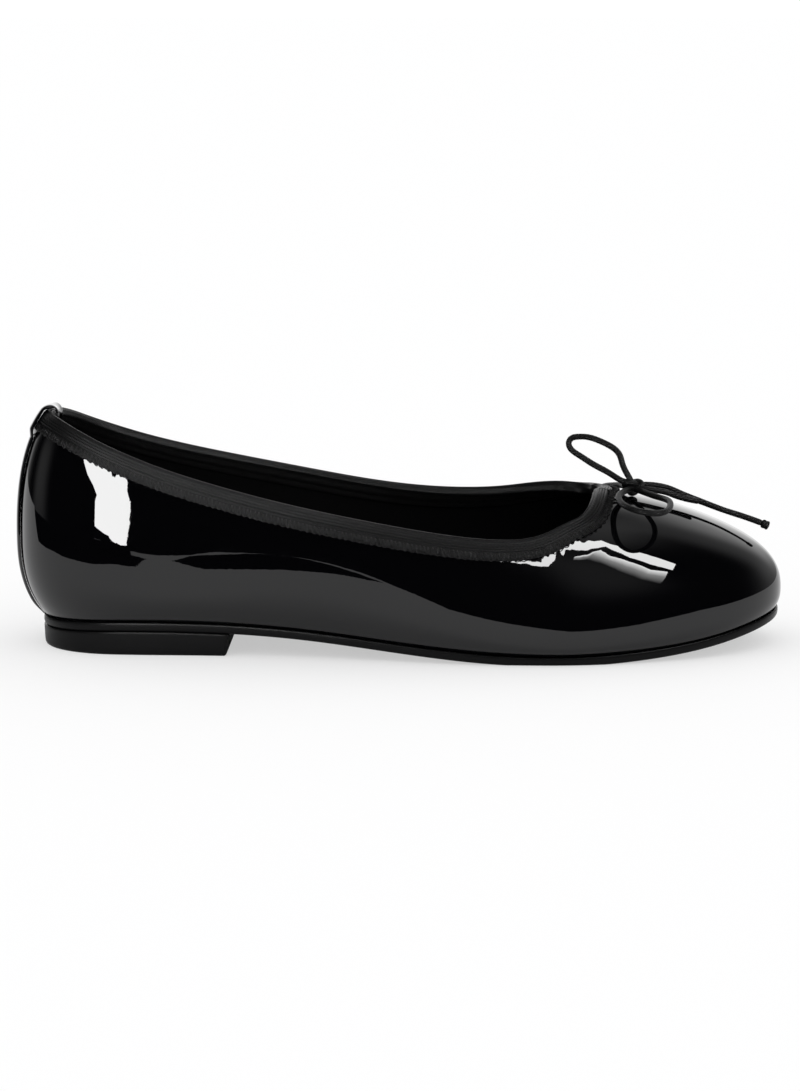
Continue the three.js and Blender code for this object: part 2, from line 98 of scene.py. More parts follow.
# Sections of the last, from the heel back to the toe. at: share of LENGTH. axis: ridge of the crown, share
# of BALL_WIDTH. lateral, medial: half widths, shares of half the local width. heel: share of HEEL_LIFT.
# toe: share of TOE_SPRING. bulge: share of BULGE. crown: share of INSTEP. tuck: share of TUCK.
SECTION_COLUMNS = ("at", "axis", "lateral", "medial", "heel", "toe", "bulge", "crown", "tuck")
SECTIONS = np.array([
    (0.000, 0.000, 0.983, 0.983, 0.81, 0.00, 1.00, 1.14, 1.78),
    (0.120, 0.000, 1.000, 1.000, 1.00, 0.00, 0.52, 1.18, 1.00),
    (0.248, 0.000, 1.017, 0.983, 0.99, 0.00, 0.41, 1.12, 0.89),
    (0.380, 0.006, 1.026, 0.840, 0.78, 0.00, 0.56, 1.00, 1.00),
    (0.520, 0.024, 1.035, 0.823, 0.33, 0.00, 0.37, 0.98, 0.78),
    (0.660, 0.049, 1.085, 0.866, 0.01, 0.00, 0.16, 0.98, 0.58),
    (0.728, 0.061, 1.098, 0.902, 0.00, 0.00, 0.13, 0.91, 0.53),
    (0.820, 0.067, 1.049, 0.951, 0.00, 0.13, 0.17, 0.84, 0.49),
    (0.912, 0.073, 1.012, 0.988, 0.00, 0.46, 0.20, 0.74, 0.44),
    (1.000, 0.079, 1.000, 1.000, 0.00, 1.00, 0.20, 0.62, 0.36),
], dtype=[(name, float) for name in SECTION_COLUMNS])


def even_curve(at, values, x):
    """Cubic through the given points whose slope and bend run on from span to span, with the end chords'
    slopes at its ends, and held level past them. Patent shows any jump in bend as a break in a highlight."""
    step = np.diff(at)
    chord = np.diff(values) / step
    count = len(at)
    rows = np.eye(count)
    target = np.zeros(count)
    target[0], target[-1] = chord[0], chord[-1]
    inner = np.arange(1, count - 1)
    rows[inner, inner - 1] = step[1:]
    rows[inner, inner] = 2 * (step[:-1] + step[1:])
    rows[inner, inner + 1] = step[:-1]
    target[1:-1] = 3 * (step[1:] * chord[:-1] + step[:-1] * chord[1:])
    slope = np.linalg.solve(rows, target)
    x = np.clip(x, at[0], at[-1])
    i = np.clip(np.searchsorted(at, x) - 1, 0, count - 2)
    t = (x - at[i]) / step[i]
    return (
        (2 * t**3 - 3 * t**2 + 1) * values[i]
        + (t**3 - 2 * t**2 + t) * step[i] * slope[i]
        + (3 * t**2 - 2 * t**3) * values[i + 1]
        + (t**3 - t**2) * step[i] * slope[i + 1]
    )


def section(name, x):
    return even_curve(SECTIONS["at"], SECTIONS[name], np.asarray(x) / LENGTH)


def smooth(t):
    u = np.clip(t, 0, 1)
    return u * u * (3 - 2 * u)


WIDTH_AT = np.linspace(0, 1, 19)
LOCAL_WIDTH = HEEL_WIDTH + (BALL_WIDTH - HEEL_WIDTH) * smooth((WIDTH_AT - 0.22) / 0.42)
HALF_LATERAL = section("lateral", WIDTH_AT * LENGTH) * LOCAL_WIDTH / 2
HALF_MEDIAL = section("medial", WIDTH_AT * LENGTH) * LOCAL_WIDTH / 2


def axis(x):
    return section("axis", x) * BALL_WIDTH


def feather(x):
    """Height of the line where the upper meets the outsole."""
    return SOLE + section("heel", x) * HEEL_LIFT + section("toe", x) * TOE_SPRING


def bulge(x):
    return section("bulge", x) * BULGE


def crown(x):
    return section("crown", x) * INSTEP


def tuck(x):
    return section("tuck", x) * TUCK


def outline_share(x, y):
    """1 on the fullest outline in plan, 0 over the crown's ridge: the sum of the distance from the ridge and
    of the distance into the heel's or toe's round, each as a share of its limit, to the power FULLNESS."""
    c = axis(x)
    half = np.where(
        y < c,
        even_curve(WIDTH_AT, HALF_LATERAL, x / LENGTH),
        even_curve(WIDTH_AT, HALF_MEDIAL, x / LENGTH),
    )
    into_heel = np.clip((HEEL_RUN - x) / (HEEL_RUN - BACK), 0, None)
    into_toe = np.clip((x - TOE_START) / (LENGTH - TOE_START), 0, None)
    return (np.abs(y - c) / half) ** FULLNESS + (into_heel + into_toe) ** FULLNESS


# Stations round the shoe: half the heel's fan, the lateral side, the toe's fan, the medial side, the rest
# of the heel's fan.
HEEL_STEPS = 8
SIDE_STEPS = 20
TOE_STEPS = 28
STATIONS = 2 * HEEL_STEPS + 2 * SIDE_STEPS + TOE_STEPS
LATERAL_END = HEEL_STEPS + SIDE_STEPS
TOE_END = LATERAL_END + TOE_STEPS
MEDIAL_END = TOE_END + SIDE_STEPS


def rays_at(s):
    """Start and direction in plan of the ray at each station: fans turn about the heel's and the toe's
    centre, and side rays stand square to the middle line between the two."""
    s = np.mod(s, STATIONS)
    run = TOE_CENTRE - HEEL_RUN
    heel_out = s / HEEL_STEPS * math.pi / 2
    toe_turn = (s - LATERAL_END) / TOE_STEPS * math.pi
    heel_in = (s - MEDIAL_END) / HEEL_STEPS * math.pi / 2
    parts = [s < HEEL_STEPS, s < LATERAL_END, s < TOE_END, s < MEDIAL_END]
    zero = np.zeros_like(s)
    x = np.select(parts, [
        zero + HEEL_RUN,
        HEEL_RUN + run * (s - HEEL_STEPS) / SIDE_STEPS,
        zero + TOE_CENTRE,
        TOE_CENTRE - run * (s - TOE_END) / SIDE_STEPS,
    ], HEEL_RUN)
    way_x = np.select(parts, [-np.cos(heel_out), zero, np.sin(toe_turn), zero], -np.sin(heel_in))
    way_y = np.select(parts, [-np.sin(heel_out), zero - 1, -np.cos(toe_turn), zero + 1], np.cos(heel_in))
    return x, way_x, way_y


def reach(x, way_x, way_y, share):
    """Distance along a ray to where outline_share takes a value, found by halving."""
    x, way_x, way_y, share = np.broadcast_arrays(x, way_x, way_y, share)
    near = np.zeros(x.shape)
    far = np.full(x.shape, LENGTH / 2)
    for _ in range(32):
        middle = (near + far) / 2
        inside = outline_share(x + way_x * middle, way_y * middle) <= share
        near = np.where(inside, middle, near)
        far = np.where(inside, far, middle)
    return (near + far) / 2


def last(s, t):
    """The last's surface. s: station. t: from -1 at the feather line through 0 at the fullest line, up a
    straight rise there, to 1 on the crown's ridge, where the outline has shrunk by a superellipse."""
    s, t = np.broadcast_arrays(np.asarray(s, float), np.asarray(t, float))
    start, way_x, way_y = rays_at(s)
    above = np.clip(t, 0, 1)
    below = np.clip(-t, 0, 1)
    r = reach(start, way_x, way_y, 1 - above**FULLNESS)
    r = r - tuck(start + way_x * r) * below**UNDERCUT
    x = start + way_x * r
    z = feather(x) + bulge(x) * (1 - below) + above * crown(x)
    return np.stack([x, way_y * r, z], axis=-1)


def sole_plan(s, share, grow):
    """Points in plan at a share of the way from the middle to the feather line, moved out by grow."""
    start, way_x, way_y = rays_at(s)
    edge = last(s, -1.0)
    full = np.hypot(edge[..., 0] - start, edge[..., 1]) + grow
    return start + way_x * share * full, way_y * share * full


def skin(name, rings, closed=False, u=None, v=None, merge=False):
    """Mesh over a grid of points: rings[r, i] is joined to i + 1 along its ring and to r + 1 across. u runs
    along a ring and v across the rings, in metres, and both become the UV map. merge closes the poles."""
    points = np.asarray(rings) + ORIGIN
    rows, count = points.shape[:2]
    r, i = np.meshgrid(np.arange(rows if closed else rows - 1), np.arange(count), indexing="ij")
    r_next, i_next = (r + 1) % rows, (i + 1) % count
    corners = np.stack([r * count + i, r * count + i_next, r_next * count + i_next, r_next * count + i], -1)
    mesh = bpy.data.meshes.new(name)
    mesh.from_pydata(points.reshape(-1, 3).tolist(), [], corners.reshape(-1, 4).tolist(), shade_flat=False)
    if u is not None:
        flat = np.stack([
            np.stack([u[i], v[r]], -1), np.stack([u[i + 1], v[r]], -1),
            np.stack([u[i + 1], v[r + 1]], -1), np.stack([u[i], v[r + 1]], -1),
        ], axis=2)
        mesh.uv_layers.new(name="UVMap").data.foreach_set("uv", flat.ravel().astype(np.float32))
    if merge:
        work = bmesh.new()
        work.from_mesh(mesh)
        bmesh.ops.remove_doubles(work, verts=work.verts, dist=0.002 * MM)
        bmesh.ops.dissolve_degenerate(work, edges=work.edges, dist=0.0005 * MM)
        work.to_mesh(mesh)
        work.free()
    piece = bpy.data.objects.new(name, mesh)
    bpy.context.scene.collection.objects.link(piece)
    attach(piece, "root")
    return piece


def finish_named(name):
    """New material with its node tree, its links and its shader."""
    material = bpy.data.materials.new(name)
    material.use_nodes = True
    tree = material.node_tree
    return material, tree, tree.nodes["Principled BSDF"]


def node(tree, kind, **settings):
    """New node. Settings named for an input set that socket, and the others set the node itself."""
    made = tree.nodes.new(kind)
    for name, value in settings.items():
        socket = name.replace("_", " ").title()
        if socket in made.inputs:
            made.inputs[socket].default_value = value
        else:
            setattr(made, name, value)
    return made


def texture_on(tree, place, kind, **settings):
    """Texture node that reads a piece's own place, in metres."""
    made = node(tree, kind, **settings)
    tree.links.new(place.outputs["Object"], made.inputs["Vector"])
    return made


def add_bump(tree, shader, height, distance, strength=1.0, after=None):
    """Bump from a height output, in metres, laid on the shader or on an earlier bump's normal."""
    bump = node(tree, "ShaderNodeBump", strength=strength, distance=distance)
    tree.links.new(height, bump.inputs["Height"])
    if after is not None:
        tree.links.new(after.outputs["Normal"], bump.inputs["Normal"])
    tree.links.new(bump.outputs["Normal"], shader.inputs["Normal"])
    return bump


def sole_top(x):
    return feather(x) - GAP


def sole_under(x):
    return np.maximum(0, feather(x) - GAP - SOLE)


# Edge of the sole, from its underside to its top. grow: beyond the feather line, in mm. rise: share of the
# thickness.
SOLE_PROFILE = np.array([
    (-0.60, 0.00), (-0.10, 0.02), (0.30, 0.09), (0.56, 0.22), (0.69, 0.38), (0.73, 0.52), (0.73, 0.66),
    (0.70, 0.80), (0.62, 0.91), (0.44, 0.98), (0.10, 1.00),
])
SOLE_FACE = np.array([0, 0.1, 0.22, 0.35, 0.48, 0.6, 0.72, 0.83, 0.92])
SOLE_STATIONS = np.arange(0, STATIONS, 1 / 6)

sole_share = np.concatenate([SOLE_FACE, np.ones(len(SOLE_PROFILE)), SOLE_FACE[::-1]])[:, None]
sole_grow = np.concatenate([
    np.full(len(SOLE_FACE), SOLE_PROFILE[0, 0]),
    SOLE_PROFILE[:, 0],
    np.full(len(SOLE_FACE), SOLE_PROFILE[-1, 0]),
])[:, None] * MM
sole_rise = np.concatenate([
    np.zeros(len(SOLE_FACE)), SOLE_PROFILE[:, 1], np.ones(len(SOLE_FACE)),
])[:, None]
sole_x, sole_y = sole_plan(SOLE_STATIONS, sole_share, sole_grow)
sole_z = sole_under(sole_x) * (1 - sole_rise) + sole_top(sole_x) * sole_rise
outsole = skin("outsole_rubber", np.stack([sole_x, sole_y, sole_z], -1), merge=True)

rubber, tree, shader = finish_named("sole_rubber")
shader.inputs["Base Color"].default_value = (0.0028, 0.0028, 0.0031, 1)
shader.inputs["Specular IOR Level"].default_value = 0.13
place = node(tree, "ShaderNodeTexCoord")
grain = texture_on(tree, place, "ShaderNodeTexNoise", scale=2400, detail=4, roughness=0.6)
cloud = texture_on(tree, place, "ShaderNodeTexNoise", scale=60, detail=3)
wear = node(tree, "ShaderNodeMapRange", from_min=0.3, from_max=0.7, to_min=0.3, to_max=0.44)
tree.links.new(cloud.outputs["Fac"], wear.inputs["Value"])
tree.links.new(wear.outputs["Result"], shader.inputs["Roughness"])
add_bump(tree, shader, grain.outputs["Fac"], 0.03 * MM, 0.5)
outsole.data.materials.append(rubber)
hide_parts("outsole")

# Heel block. A low solid rubber heel under the seat, with a rounded bottom edge and a straight breast. It is
# glued to the outsole, and a fine line shows where the two meet.
BREAST = 70.4 * MM
BREAST_CORNER = 1.2 * MM
BREAST_POINTS = 15
BREAST_FLARE = 0.9 * MM          # how far the front leans out at the top
FLARE_FROM = 0.55                # share of the height where it starts to lean
FRONT_BLEND = 3 * MM
# Wall of the block from the floor up. rise: share of the height. inset: in from the sole's edge, in mm.
BLOCK_PROFILE = np.array([
    (0.00, 1.60), (0.01, 1.05), (0.05, 0.62), (0.13, 0.36), (0.25, 0.27), (0.50, 0.19), (0.70, 0.14),
    (0.90, 0.09), (0.965, 0.12), (1.00, 0.26),
])
side_step = (TOE_CENTRE - HEEL_RUN) / SIDE_STEPS
seat_end = HEEL_STEPS + (BREAST - BREAST_CORNER - HEEL_RUN) / side_step
seat_stations = np.linspace(-seat_end, seat_end, 241)


def block_ring(inset):
    """Outline of the heel in plan: the seat's curve, a rounded corner, the breast, the other corner."""
    x, y = sole_plan(seat_stations, 1.0, SOLE_EDGE - inset)
    turn = np.linspace(0, math.pi / 2, 7)[1:]
    corner_x = x[-1] + (BREAST_CORNER - inset) * np.sin(turn)
    lateral_y = y[-1] + BREAST_CORNER * (1 - np.cos(turn))
    medial_y = y[0] - BREAST_CORNER * (1 - np.cos(turn))
    across = np.linspace(lateral_y[-1], medial_y[-1], BREAST_POINTS)[1:-1]
    front = np.full(len(across), corner_x[-1])
    return np.stack([
        np.concatenate([x, corner_x, front, corner_x[::-1]]),
        np.concatenate([y, lateral_y, across, medial_y[::-1]]),
    ], -1)


block_rings = []
for rise, inset in BLOCK_PROFILE:
    ring = block_ring(inset * MM)
    flare = BREAST_FLARE * smooth((rise - FLARE_FROM) / (1 - FLARE_FROM)) ** 2
    at_front = smooth((ring[:, 0] - BREAST + FRONT_BLEND) / FRONT_BLEND)
    ring_x = ring[:, 0] + flare * at_front
    height = (sole_under(ring_x) - GAP / 3) * rise
    block_rings.append(np.stack([ring_x, ring[:, 1], height], -1))
block_rings = np.array(block_rings)


def shrunk(ring, share):
    """The ring drawn in towards the heel's centre, at the height that its level has there."""
    centre = np.array([HEEL_RUN, 0.0])
    plan = centre + (ring[:, :2] - centre) * share
    height = ring[:, 2:] if ring[0, 2] == 0 else (sole_under(plan[:, :1]) - GAP / 3)
    return np.concatenate([plan, height], -1)


block_under = [shrunk(block_rings[0], share) for share in (0, 0.4, 0.75, 0.93)]
block_over = [shrunk(block_rings[-1], share) for share in (0.9, 0.6, 0.3, 0)]
heel = skin("heel_rubber", np.array(block_under + list(block_rings) + block_over), merge=True)
heel.data.materials.append(rubber)
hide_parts("heel_block")

# Insole. A thin sock of black lining leather over a soft board, laid inside the upper on its turned-in
# edge. Its top is a little dished and its edge is skived round.
LASTING = 3 * MM
INSOLE = 2 * MM
INSOLE_EDGE = -LASTING - GAP
INSOLE_DISH = 0.5 * MM
INSOLE_STATIONS = np.arange(0, STATIONS, 1 / 5)

insole_share = np.array([
    0, 0.3, 0.6, 0.85, 1, 1, 1, 0.995, 0.98, 0.94, 0.86, 0.75, 0.6, 0.45, 0.3, 0.15, 0,
])[:, None]
insole_grow = INSOLE_EDGE + np.array([0, 0, 0, 0, 0, 0.5, 0.6] + [0.6] * 10)[:, None] * MM
insole_rise = np.array([0, 0, 0, 0, 0, 0.3, 0.75, 0.94, 1, 1, 1, 1, 1, 1, 1, 1, 1])[:, None]
insole_x, insole_y = sole_plan(INSOLE_STATIONS, insole_share, insole_grow)
insole_z = feather(insole_x) + INSOLE * insole_rise
insole_z = insole_z + (insole_rise == 1) * INSOLE_DISH * (insole_share**4 - 0.6)
insole = skin("insole_sock", np.stack([insole_x, insole_y, insole_z], -1), merge=True)

lining, tree, shader = finish_named("lining_leather")
shader.inputs["Base Color"].default_value = (0.0022, 0.0022, 0.0026, 1)
shader.inputs["Roughness"].default_value = 0.6
shader.inputs["Specular IOR Level"].default_value = 0.05
place = node(tree, "ShaderNodeTexCoord")
pores = texture_on(tree, place, "ShaderNodeTexVoronoi", scale=1500)
folds = texture_on(tree, place, "ShaderNodeTexNoise", scale=260, detail=5, roughness=0.6)
first = add_bump(tree, shader, pores.outputs["Distance"], 0.08 * MM, 0.5)
add_bump(tree, shader, folds.outputs["Fac"], 0.12 * MM, 0.4, after=first)
insole.data.materials.append(lining)
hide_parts("insole")

# Upper. One piece of black patent leather with its lining, pulled over the last, turned in under the foot
# and cemented. The elastic at its edge draws fine shallow puckers, and the side has a few soft dents.
COLLAR = 68 * MM
WALL = 1.6 * MM
COLLAR_BLEND = 0.22 * BALL_WIDTH
BINDING = 0.9 * MM
BINDING_LEG = 5.8 * MM
# Collar line. at: share of LENGTH. lateral, medial: height above the sole on each side, share of COLLAR.
COLLAR_LINE = np.array([
    (0.000, 1.000, 1.000), (0.048, 0.960, 0.953), (0.080, 0.905, 0.893), (0.120, 0.829, 0.829),
    (0.180, 0.734, 0.762), (0.256, 0.651, 0.704), (0.360, 0.579, 0.646), (0.480, 0.538, 0.606),
    (0.584, 0.518, 0.612), (0.640, 0.518, 0.637), (0.688, 0.546, 0.672), (0.720, 0.591, 0.682),
    (0.744, 0.632, 0.682), (0.760, 0.697, 0.697),
], dtype=[("at", float), ("lateral", float), ("medial", float)])


def collar_height(x, y):
    """Height of the collar: the lateral and medial lines, blended across the middle."""
    k = smooth(0.5 + y / (2 * COLLAR_BLEND))
    lateral = even_curve(COLLAR_LINE["at"], COLLAR_LINE["lateral"], x / LENGTH)
    medial = even_curve(COLLAR_LINE["at"], COLLAR_LINE["medial"], x / LENGTH)
    return feather(x) + COLLAR * (lateral * (1 - k) + medial * k)


def collar_share(s):
    """Height share of the collar on each station's ray, found by halving."""
    low = np.zeros(np.shape(s))
    high = np.full(np.shape(s), 0.975)
    for _ in range(22):
        middle = (low + high) / 2
        p = last(s, middle)
        over = p[..., 2] > collar_height(p[..., 0], p[..., 1])
        high = np.where(over, middle, high)
        low = np.where(over, low, middle)
    return (low + high) / 2


def unit(vectors):
    return vectors / np.linalg.norm(vectors, axis=-1, keepdims=True)


def outward(s, t):
    """Outward direction of the last: the way along a ring crossed with the way up."""
    s, t = np.broadcast_arrays(np.asarray(s, float), np.asarray(t, float))
    along = last(s + 0.04, t) - last(s - 0.04, t)
    up = last(s, t + 0.004) - last(s, np.maximum(-1, t - 0.004))
    return unit(np.cross(along, up))


# Frame of the collar at close stations: its height share, edge, and the ways along, out and up.
COLLAR_FINE = 20
collar_s = np.arange(STATIONS * COLLAR_FINE) / COLLAR_FINE
collar_t = collar_share(collar_s)
collar_edge = last(collar_s, collar_t)
collar_along = unit(np.roll(collar_edge, -1, axis=0) - np.roll(collar_edge, 1, axis=0))
collar_out = outward(collar_s, collar_t)
collar_out = unit(collar_out - np.sum(collar_out * collar_along, -1, keepdims=True) * collar_along)
collar_up = np.cross(collar_out, collar_along)
collar_run = np.concatenate([
    [0.0], np.cumsum(np.linalg.norm(np.roll(collar_edge, -1, axis=0) - collar_edge, axis=-1)),
])
COLLAR_LENGTH = collar_run[-1]


def share_below(depth):
    """Height share at each close station at a distance down the wall, square to the edge."""
    low = np.zeros(np.broadcast_shapes(collar_t.shape, np.shape(depth)))
    high = np.broadcast_to(collar_t, low.shape).copy()
    for _ in range(18):
        middle = (low + high) / 2
        d = last(collar_s, middle) - collar_edge
        d = d - np.sum(d * collar_along, -1, keepdims=True) * collar_along
        deep = np.linalg.norm(d, axis=-1) > depth
        low = np.where(deep, middle, low)
        high = np.where(deep, high, middle)
    return (low + high) / 2


# The wall below the collar as a table: depth down from the edge by close station.
WALL_DEPTHS = np.linspace(0, 9, 13)[:, None] * MM
wall_t = share_below(WALL_DEPTHS)
wall_points = last(collar_s, wall_t)
wall_out = outward(collar_s, wall_t)
wall_out[0] = collar_out

UPPER_FINE = 8
upper_s = np.arange(STATIONS * UPPER_FINE) / UPPER_FINE
upper_t_edge = np.interp(upper_s, np.append(collar_s, STATIONS), np.append(collar_t, collar_t[0]))
leg_row = np.array([np.interp(BINDING_LEG, WALL_DEPTHS[:, 0], column) for column in wall_t.T])
upper_t_leg = np.interp(upper_s, np.append(collar_s, STATIONS), np.append(leg_row, leg_row[0]))
upper_run = np.interp(upper_s, np.append(collar_s, STATIONS), collar_run)

LOWER_ROWS = -(1 - np.linspace(0, 1, 27)[:-1]) ** 0.9
MIDDLE_ROWS = np.linspace(0, 1, 57)[:-1]
EDGE_ROWS = np.linspace(0, 1, 7)
outer_t = np.concatenate([
    np.broadcast_to(LOWER_ROWS[:, None], (len(LOWER_ROWS), len(upper_s))),
    MIDDLE_ROWS[:, None] * upper_t_leg,
    upper_t_leg + EDGE_ROWS[:, None] * (upper_t_edge - upper_t_leg),
])
outer = last(upper_s, outer_t)
outer_normal = outward(upper_s, outer_t)

# Distance below the collar's edge, row by row.
steps_up = np.linalg.norm(np.diff(outer, axis=0), axis=-1)
below_edge = np.concatenate([np.cumsum(steps_up[::-1], axis=0)[::-1], np.zeros((1, len(upper_s)))])

PUCKER_DEPTH = 0.009 * MM
PUCKER_FADE = 5.0 * MM
# Puckers: whole waves round the collar, and the share that each takes.
PUCKER_WAVES = ((83, 0.45, 0.4), (127, 0.35, 2.1), (59, 0.3, 4.0), (181, 0.2, 1.2))


def puckers(run, below):
    """Depth of the puckers: waves along the collar that fade with the distance below the binding."""
    turn = 2 * math.pi * run / COLLAR_LENGTH
    waves = sum(share * np.sin(count * turn + phase) for count, share, phase in PUCKER_WAVES)
    return PUCKER_DEPTH * waves * np.exp(-np.clip(below - BINDING_LEG, 0, None) / PUCKER_FADE)


# Soft dents and swells of the sides. x, z: centre, in mm. along, high: half sizes, in mm. side: -1 lateral,
# 1 medial. rise: outward, in mm.
DENT_COLUMNS = ("x", "z", "along", "high", "side", "rise")
DENTS = np.array([
    (26, 59, 5, 9, -1, 0.05), (33, 45, 5, 9, -1, -0.05), (43, 53, 6, 8, -1, 0.05),
    (40, 34, 7, 8, -1, -0.02), (62, 45, 12, 10, -1, 0.04), (92, 38, 18, 9, -1, -0.05),
    (30, 50, 8, 10, 1, 0.08), (60, 42, 14, 12, 1, -0.10), (110, 36, 20, 10, 1, 0.10),
    (150, 32, 18, 9, 1, -0.08), (186, 33, 8, 5, -1, 0.10),
], dtype=[(name, float) for name in DENT_COLUMNS])


def dents(points):
    """Sum of round swells: each is its rise times a bell of the distance from its centre."""
    total = np.zeros(points.shape[:-1])
    for dent in DENTS:
        off = ((points[..., 0] / MM - dent["x"]) / dent["along"]) ** 2
        off = off + ((points[..., 2] / MM - dent["z"]) / dent["high"]) ** 2
        total = total + dent["rise"] * MM * np.exp(-off) * (points[..., 1] * dent["side"] > 0)
    return total


outer_face = outer + outer_normal * (puckers(upper_run, below_edge) + dents(outer))[..., None]
# The inner face keeps every third row, so that the lining stays light.
inner_face = (outer - outer_normal * WALL)[::-1][:-6:3]
turned_in = outer[0] - np.stack([rays_at(upper_s)[1], rays_at(upper_s)[2], 0 * upper_s], -1) * LASTING
turned_in[:, 2] = feather(turned_in[:, 0])
upper_rings = np.concatenate([outer_face, inner_face, turned_in[None]])
upper = skin("upper_patent", upper_rings, closed=True)

patent, tree, shader = finish_named("patent_leather")
shader.inputs["Base Color"].default_value = (0.0012, 0.0012, 0.0016, 1)
shader.inputs["IOR"].default_value = 1.5
shader.inputs["Specular IOR Level"].default_value = 0.5
place = node(tree, "ShaderNodeTexCoord")
peel = texture_on(tree, place, "ShaderNodeTexNoise", scale=420, detail=2, roughness=0.5)
swell = texture_on(tree, place, "ShaderNodeTexNoise", scale=75, detail=2, roughness=0.5)
first = add_bump(tree, shader, swell.outputs["Fac"], 0.016 * MM, 0.5)
add_bump(tree, shader, peel.outputs["Fac"], 0.006 * MM, 0.5, after=first)
haze = texture_on(tree, place, "ShaderNodeTexNoise", scale=120, detail=4)
rub = node(tree, "ShaderNodeMapRange", from_min=0.35, from_max=0.75, to_min=0.008, to_max=0.02)
tree.links.new(haze.outputs["Fac"], rub.inputs["Value"])
tree.links.new(rub.outputs["Result"], shader.inputs["Roughness"])
upper.data.materials.append(patent)
upper.data.materials.append(lining)
quads_around = len(upper_s)
inside = np.zeros(len(upper.data.polygons), dtype=np.int32)
inside[len(outer_face) * quads_around:] = 1
upper.data.polygons.foreach_set("material_index", inside)
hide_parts("upper")

# Topline binding. A knitted elastic tape folded over the collar's edge and sewn through with a close
# zigzag. Its rolled top rib is smooth, and the ribs below it are twisted cords. The sewn edge is scalloped.
FOLD_RISE = BINDING + GAP + 0.2 * MM
SCALLOP_PITCH = 1.75 * MM
SCALLOP = 0.22 * MM
SCALLOP_COUNT = round(COLLAR_LENGTH / SCALLOP_PITCH)
binding_turn = 2 * math.pi * collar_run[:-1] / COLLAR_LENGTH


def beside_wall(k, depth, lift):
    """Point on the wall at a depth below the collar's edge, lifted outward. k: place in the close stations,
    read between neighbours in both directions."""
    k, depth, lift = np.broadcast_arrays(k, depth, lift)
    depth_at = np.clip(depth / (WALL_DEPTHS[1, 0] - WALL_DEPTHS[0, 0]), 0, len(WALL_DEPTHS) - 1.001)
    row = np.floor(depth_at).astype(int)
    across = (depth_at - row)[..., None]
    k = np.mod(k, len(collar_s))
    low = np.floor(k).astype(int)
    high = (low + 1) % len(collar_s)
    on = (k - low)[..., None]

    def blend(table):
        top = table[row, low] * (1 - on) + table[row, high] * on
        return top * (1 - across) + (table[row + 1, low] * (1 - on) + table[row + 1, high] * on) * across

    return blend(wall_points) + unit(blend(wall_out)) * lift[..., None]


def over_edge(k, turn, out, rise):
    """Point on the fold over the edge: an arch across the wall's thickness, turn from 0 outside to pi."""
    k, turn, out, rise = np.broadcast_arrays(k, turn, out, rise)
    k = np.mod(k, len(collar_s))
    low = np.floor(k).astype(int)
    high = (low + 1) % len(collar_s)
    on = (k - low)[..., None]

    def blend(table):
        return table[low] * (1 - on) + table[high] * on

    side = -WALL / 2 + (WALL / 2 + out) * np.cos(turn)
    height = rise * np.sin(turn)
    return blend(collar_edge) + blend(collar_out) * side[..., None] + blend(collar_up) * height[..., None]


# Ribs of the tape across its outer leg and over the fold. at: distance from the fold's top, in mm, outer
# side positive. half: half width. high: height above the tape.
RIBS = ((-4.6, 0.38, 0.30), (-3.7, 0.38, 0.32), (-2.8, 0.38, 0.32), (-1.7, 0.45, 0.36), (-0.3, 0.78, 0.42),
        (1.15, 0.50, 0.42), (2.15, 0.40, 0.34), (3.0, 0.38, 0.30), (3.85, 0.36, 0.26))
TAPE_THIN = 0.48 * MM


def rib_height(at):
    """Height of the ribs at a distance from the fold's top: the highest of half-round ridges."""
    height = np.zeros(np.shape(at))
    for centre, half, high in RIBS:
        within = np.clip(1 - ((at / MM - centre) / half) ** 2, 0, 1)
        height = np.maximum(height, high * MM * np.sqrt(within))
    return height


# Rows across the tape: outer leg from its sewn edge up, the arch, inner leg down, then back underneath.
LEG_ROWS = np.linspace(1, 0, 28) * BINDING_LEG
ARCH_ROWS = np.linspace(0, math.pi, 13)[1:-1]
ARCH_HALF = 1.9 * MM
k_all = np.arange(len(collar_s)).astype(float)
# At the throat the tape is pulled tight: its ribs look plain and its edge runs straight.
throat = smooth((collar_edge[:, 0] - 0.7 * LENGTH) / (0.05 * LENGTH))
scallop = SCALLOP * (1 - 0.7 * throat) * np.abs(np.sin(SCALLOP_COUNT * binding_turn / 2))
binding_rings = []
for depth in LEG_ROWS:
    low_end = smooth((depth - 0.6 * BINDING_LEG) / (0.4 * BINDING_LEG))
    edge_round = 1 - smooth((depth - 0.93 * BINDING_LEG) / (0.07 * BINDING_LEG)) * 0.55
    rib = rib_height(depth + ARCH_HALF)
    lift = GAP + TAPE_THIN * edge_round + rib
    binding_rings.append(beside_wall(k_all, depth + (scallop - SCALLOP / 2) * low_end, lift))
for turn in ARCH_ROWS:
    at = ARCH_HALF * math.cos(turn)
    rib = rib_height(at)
    binding_rings.append(over_edge(k_all, turn, GAP + TAPE_THIN + rib, FOLD_RISE - BINDING + TAPE_THIN + rib))
for depth in LEG_ROWS[::-1][::2]:
    rib = rib_height(-depth - ARCH_HALF)
    binding_rings.append(beside_wall(k_all, depth, -WALL - GAP - TAPE_THIN - rib))
for depth in (BINDING_LEG, BINDING_LEG / 2):
    binding_rings.append(beside_wall(k_all, depth, -WALL - GAP / 2))
for turn in (math.pi, 0.0):
    binding_rings.append(over_edge(k_all, turn, GAP / 2, GAP))
for depth in (BINDING_LEG / 2, BINDING_LEG):
    binding_rings.append(beside_wall(k_all, depth, GAP / 2))
binding_rings = np.array(binding_rings)
across_run = np.concatenate([
    [0.0], np.cumsum(np.linalg.norm(np.diff(binding_rings[:, 0], axis=0), axis=-1)), [0.0],
])
across_run[-1] = across_run[-2] + MM
binding = skin("binding_tape", binding_rings, closed=True, u=collar_run, v=across_run)


